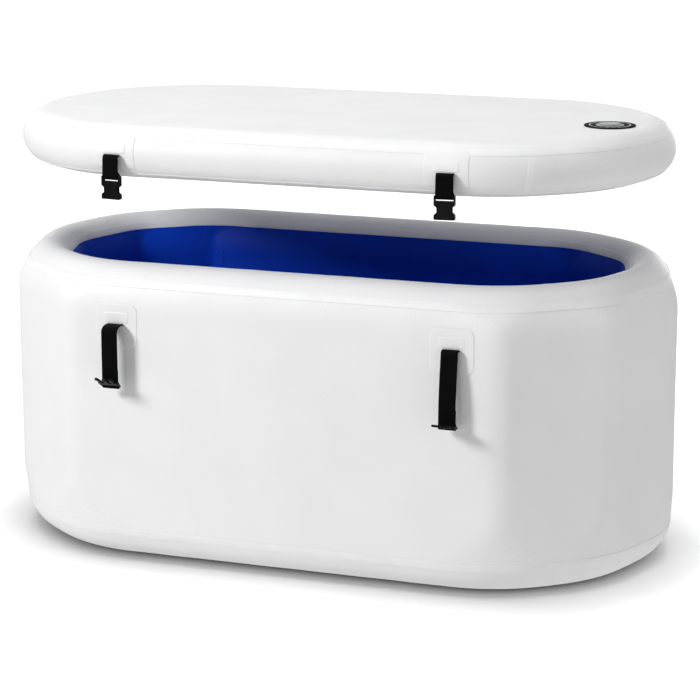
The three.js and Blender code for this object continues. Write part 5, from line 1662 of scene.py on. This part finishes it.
@dataclass
class Studio:
    """Plain pale floor, soft studio light and the photograph's camera.

    Attributes:
        eye: the camera's place in metres.
        target: the point in the middle of the picture.
        focal: focal length on a 36 mm sensor.
        roll: the camera's roll in degrees.
        ambient: light of the surroundings.
        key: strength of the key light on the front left.
        top: strength of the overhead light.
        fill: strength of the light on the right.
        low: strength of the low light in front.
        rear: strength of the low light behind, for views from there.
        painted_bounce_glow: the floor's glow to every ray but the camera's, painted light that stands in for the light
            it throws back on the tub.
        shine: how much brighter than painted the floor looks to the camera.
        contact_shade_reach: distance of the ambient occlusion that paints a contact shadow on the floor near the tub,
            to the camera, in metres.
        floor_lift: how much the floor's shadow is lightened to the camera.
    """

    eye: Tuple[float, float, float] = (2.0509, -5.4857, 1.7644)
    target: Tuple[float, float, float] = (0.01392, 0.0, 0.42281)
    focal: float = 134.57
    roll: float = 0.09
    ambient: float = 0.03
    key: float = 160.0
    top: float = 73.0
    fill: float = 33.0
    low: float = 19.0
    rear: float = 50.0
    painted_bounce_glow: float = 0.34
    shine: float = 3.2
    contact_shade_reach: float = 0.3
    floor_lift: float = 0.02

    def build(self) -> None:
        """Sets the camera, the floor, the surroundings and the lamps."""
        self.camera()
        floor = self.floor()
        self.surroundings()
        self.lamps(floor)
        bpy.context.scene.view_settings.view_transform = "Standard"

    def camera(self) -> None:
        """Points the camera from the eye at the target."""
        data = bpy.data.cameras.new("camera")
        data.lens = self.focal
        data.sensor_width = 36.0
        data.clip_end = 100.0
        camera = bpy.data.objects.new("camera", data)
        look = (Vector(self.target) - Vector(self.eye)).normalized()
        camera.rotation_mode = "QUATERNION"
        camera.rotation_quaternion = Quaternion(look, math.radians(self.roll)) @ look.to_track_quat("-Z", "Y")
        camera.location = self.eye
        bpy.context.scene.collection.objects.link(camera)
        bpy.context.scene.camera = camera

    def floor(self) -> bpy.types.Object:
        """Lays a wide round floor: rings of a flat disc, whose far part is as white as the surroundings, and whose
        colour to the camera is darkened near the tub by ambient occlusion, a painted contact shadow.

        Returns:
            The floor.
        """
        radius = np.geomspace(0.4, 40, 12)[:, None] / MM
        angle = np.linspace(0, 2 * math.pi, 64, endpoint=False)[None]
        points = np.stack([radius * np.cos(angle), radius * np.sin(angle), np.zeros((12, 64))], axis=-1)
        floor = lattice("floor", points, np.zeros((12, 65, 2)), poles=(np.zeros(3), None))
        flipped = np.array([p.normal.z for p in floor.data.polygons]).mean() < 0
        if flipped:
            floor.data.flip_normals()
        material = bpy.data.materials.new("painted_floor_white")
        material.use_nodes = True
        tree = material.node_tree
        shader = tree.nodes["Principled BSDF"]
        shader.inputs["Roughness"].default_value = 0.9
        shader.inputs["Specular IOR Level"].default_value = 0.0
        seen = add_node(tree, "ShaderNodeLightPath", {}, {}).outputs["Is Camera Ray"]
        # Painted shadow: to the camera the floor's colour is scaled by ambient occlusion, so it darkens near the tub.
        painted_contact_shade = add_node(tree, "ShaderNodeAmbientOcclusion", {"samples": 8}, {"Distance": self.contact_shade_reach}).outputs["AO"]
        shaded_shine = add_node(tree, "ShaderNodeMath", {"operation": "MULTIPLY"}, {0: painted_contact_shade, 1: self.shine}).outputs[0]
        level = add_node(tree, "ShaderNodeMapRange", {}, {"Value": seen, "To Min": 1.0, "To Max": shaded_shine})
        paint = add_node(tree, "ShaderNodeVectorMath", {"operation": "SCALE"}, {
            0: linear("#f7f7f7")[:3], "Scale": level.outputs[0]})
        tree.links.new(paint.outputs[0], shader.inputs["Base Color"])
        place = add_node(tree, "ShaderNodeTexCoord", {}, {}).outputs["Object"]
        reach = add_node(tree, "ShaderNodeVectorMath", {"operation": "LENGTH"}, {0: place}).outputs["Value"]
        fade = add_node(tree, "ShaderNodeMapRange", {"interpolation_type": "SMOOTHSTEP"}, {
            "Value": reach, "From Min": 0.76, "From Max": 1.3, "To Min": self.floor_lift, "To Max": 1.0}).outputs[0]
        # Painted light: the floor glows to every ray but the camera's, standing in for its bounce; to the camera the
        # glow lifts the floor towards white away from the tub.
        lift = add_node(tree, "ShaderNodeMapRange", {}, {"Value": seen, "To Min": self.painted_bounce_glow, "To Max": fade})
        shader.inputs["Emission Color"].default_value = (1, 1, 1, 1)
        tree.links.new(lift.outputs[0], shader.inputs["Emission Strength"])
        floor.data.materials.append(material)
        return floor

    def surroundings(self) -> None:
        """White to the camera and to reflections, and a plain level of light to everything else."""
        world = bpy.data.worlds.new("studio")
        bpy.context.scene.world = world
        world.use_nodes = True
        tree = world.node_tree
        tree.nodes.clear()
        path = add_node(tree, "ShaderNodeLightPath", {}, {})
        seen = path.outputs["Is Camera Ray"]
        for kind in ("Is Glossy Ray", "Is Transmission Ray"):
            seen = add_node(tree, "ShaderNodeMath", {"operation": "MAXIMUM"}, {0: seen, 1: path.outputs[kind]}).outputs[0]
        level = add_node(tree, "ShaderNodeMapRange", {}, {"Value": seen, "To Min": self.ambient, "To Max": 1.0})
        sky = add_node(tree, "ShaderNodeBackground", {}, {"Color": (1, 1, 1, 1), "Strength": level.outputs[0]})
        add_node(tree, "ShaderNodeOutputWorld", {}, {"Surface": sky.outputs[0]})

    def lamps(self, floor: bpy.types.Object) -> None:
        """A key on the front left, a broad light overhead, a fill, and low lights in front and behind.

        Args:
            floor: the floor, which only the overhead light reaches, so that its shadow is soft.
        """
        spared = bpy.data.collections.new("spared_floor")
        spared.objects.link(floor)
        boxes = (
            ("key", (-2.7, -3.45, 2.85), (0.0, 0.0, 0.4), (1.1, 1.1), self.key),
            ("overhead", (0.0, 0.3, 3.6), (0.0, 0.3, 0.0), (4.5, 3.4), self.top),
            ("fill", (3.55, -0.95, 1.25), (0.2, 0.0, 0.4), (2.6, 2.6), self.fill),
            ("low", (0.4, -4.6, 0.5), (0.2, 0.0, 0.1), (3.0, 0.9), self.low),
            ("rear", (-0.6, 4.4, 0.6), (0.0, 0.4, 0.35), (3.4, 1.0), self.rear),
        )
        for name, place, aim, size, power in boxes:
            light = bpy.data.lights.new(name, "AREA")
            light.shape = "RECTANGLE"
            light.size, light.size_y = size
            light.energy = power
            lamp = bpy.data.objects.new(name, light)
            lamp.location = place
            lamp.rotation_mode = "QUATERNION"
            lamp.rotation_quaternion = (Vector(aim) - Vector(place)).to_track_quat("-Z", "Y")
            bpy.context.scene.collection.objects.link(lamp)
            if name != "overhead":
                lamp.light_linking.receiver_collection = spared
        spared.collection_objects[0].light_linking.link_state = "EXCLUDE"


def stations(lid: InflatedLid) -> Sequence[StrapStation]:
    """The four strap stations.

    Args:
        lid: the lid that carries the upper patches.

    Returns:
        The stations, front first.
    """
    loose, close = Strap(34), Strap(13, bow=3)
    return [
        StrapStation("front_left", Side.FRONT, -376, 544, loose, -380, lid),
        StrapStation("front_right", Side.FRONT, 396, 546, close, 377, lid),
        StrapStation("rear_left", Side.REAR, -396, 546, close, -377, lid),
        StrapStation("rear_right", Side.REAR, 376, 544, loose, 380, lid),
    ]


def main() -> None:
    """Builds the studio and every sub-assembly in order."""
    logging.basicConfig(level=logging.INFO, format="%(name)s: %(message)s")
    Studio().build()
    TubShell().build()
    lid = InflatedLid()
    lid.build()
    for station in stations(lid):
        station.build()
    InflationValve("lid_valve", "lid", Spindle((624, -30, 973.3), (0, 0, 1))).build()
    InflationValve("wall_valve", "tub", Spindle((190, 419, 419), (0, 1, 0))).build()
    DrainFitting(Spindle((-190, 419, 134.5), (0, 1, 0))).build()


if __name__ == "__main__":
    main()
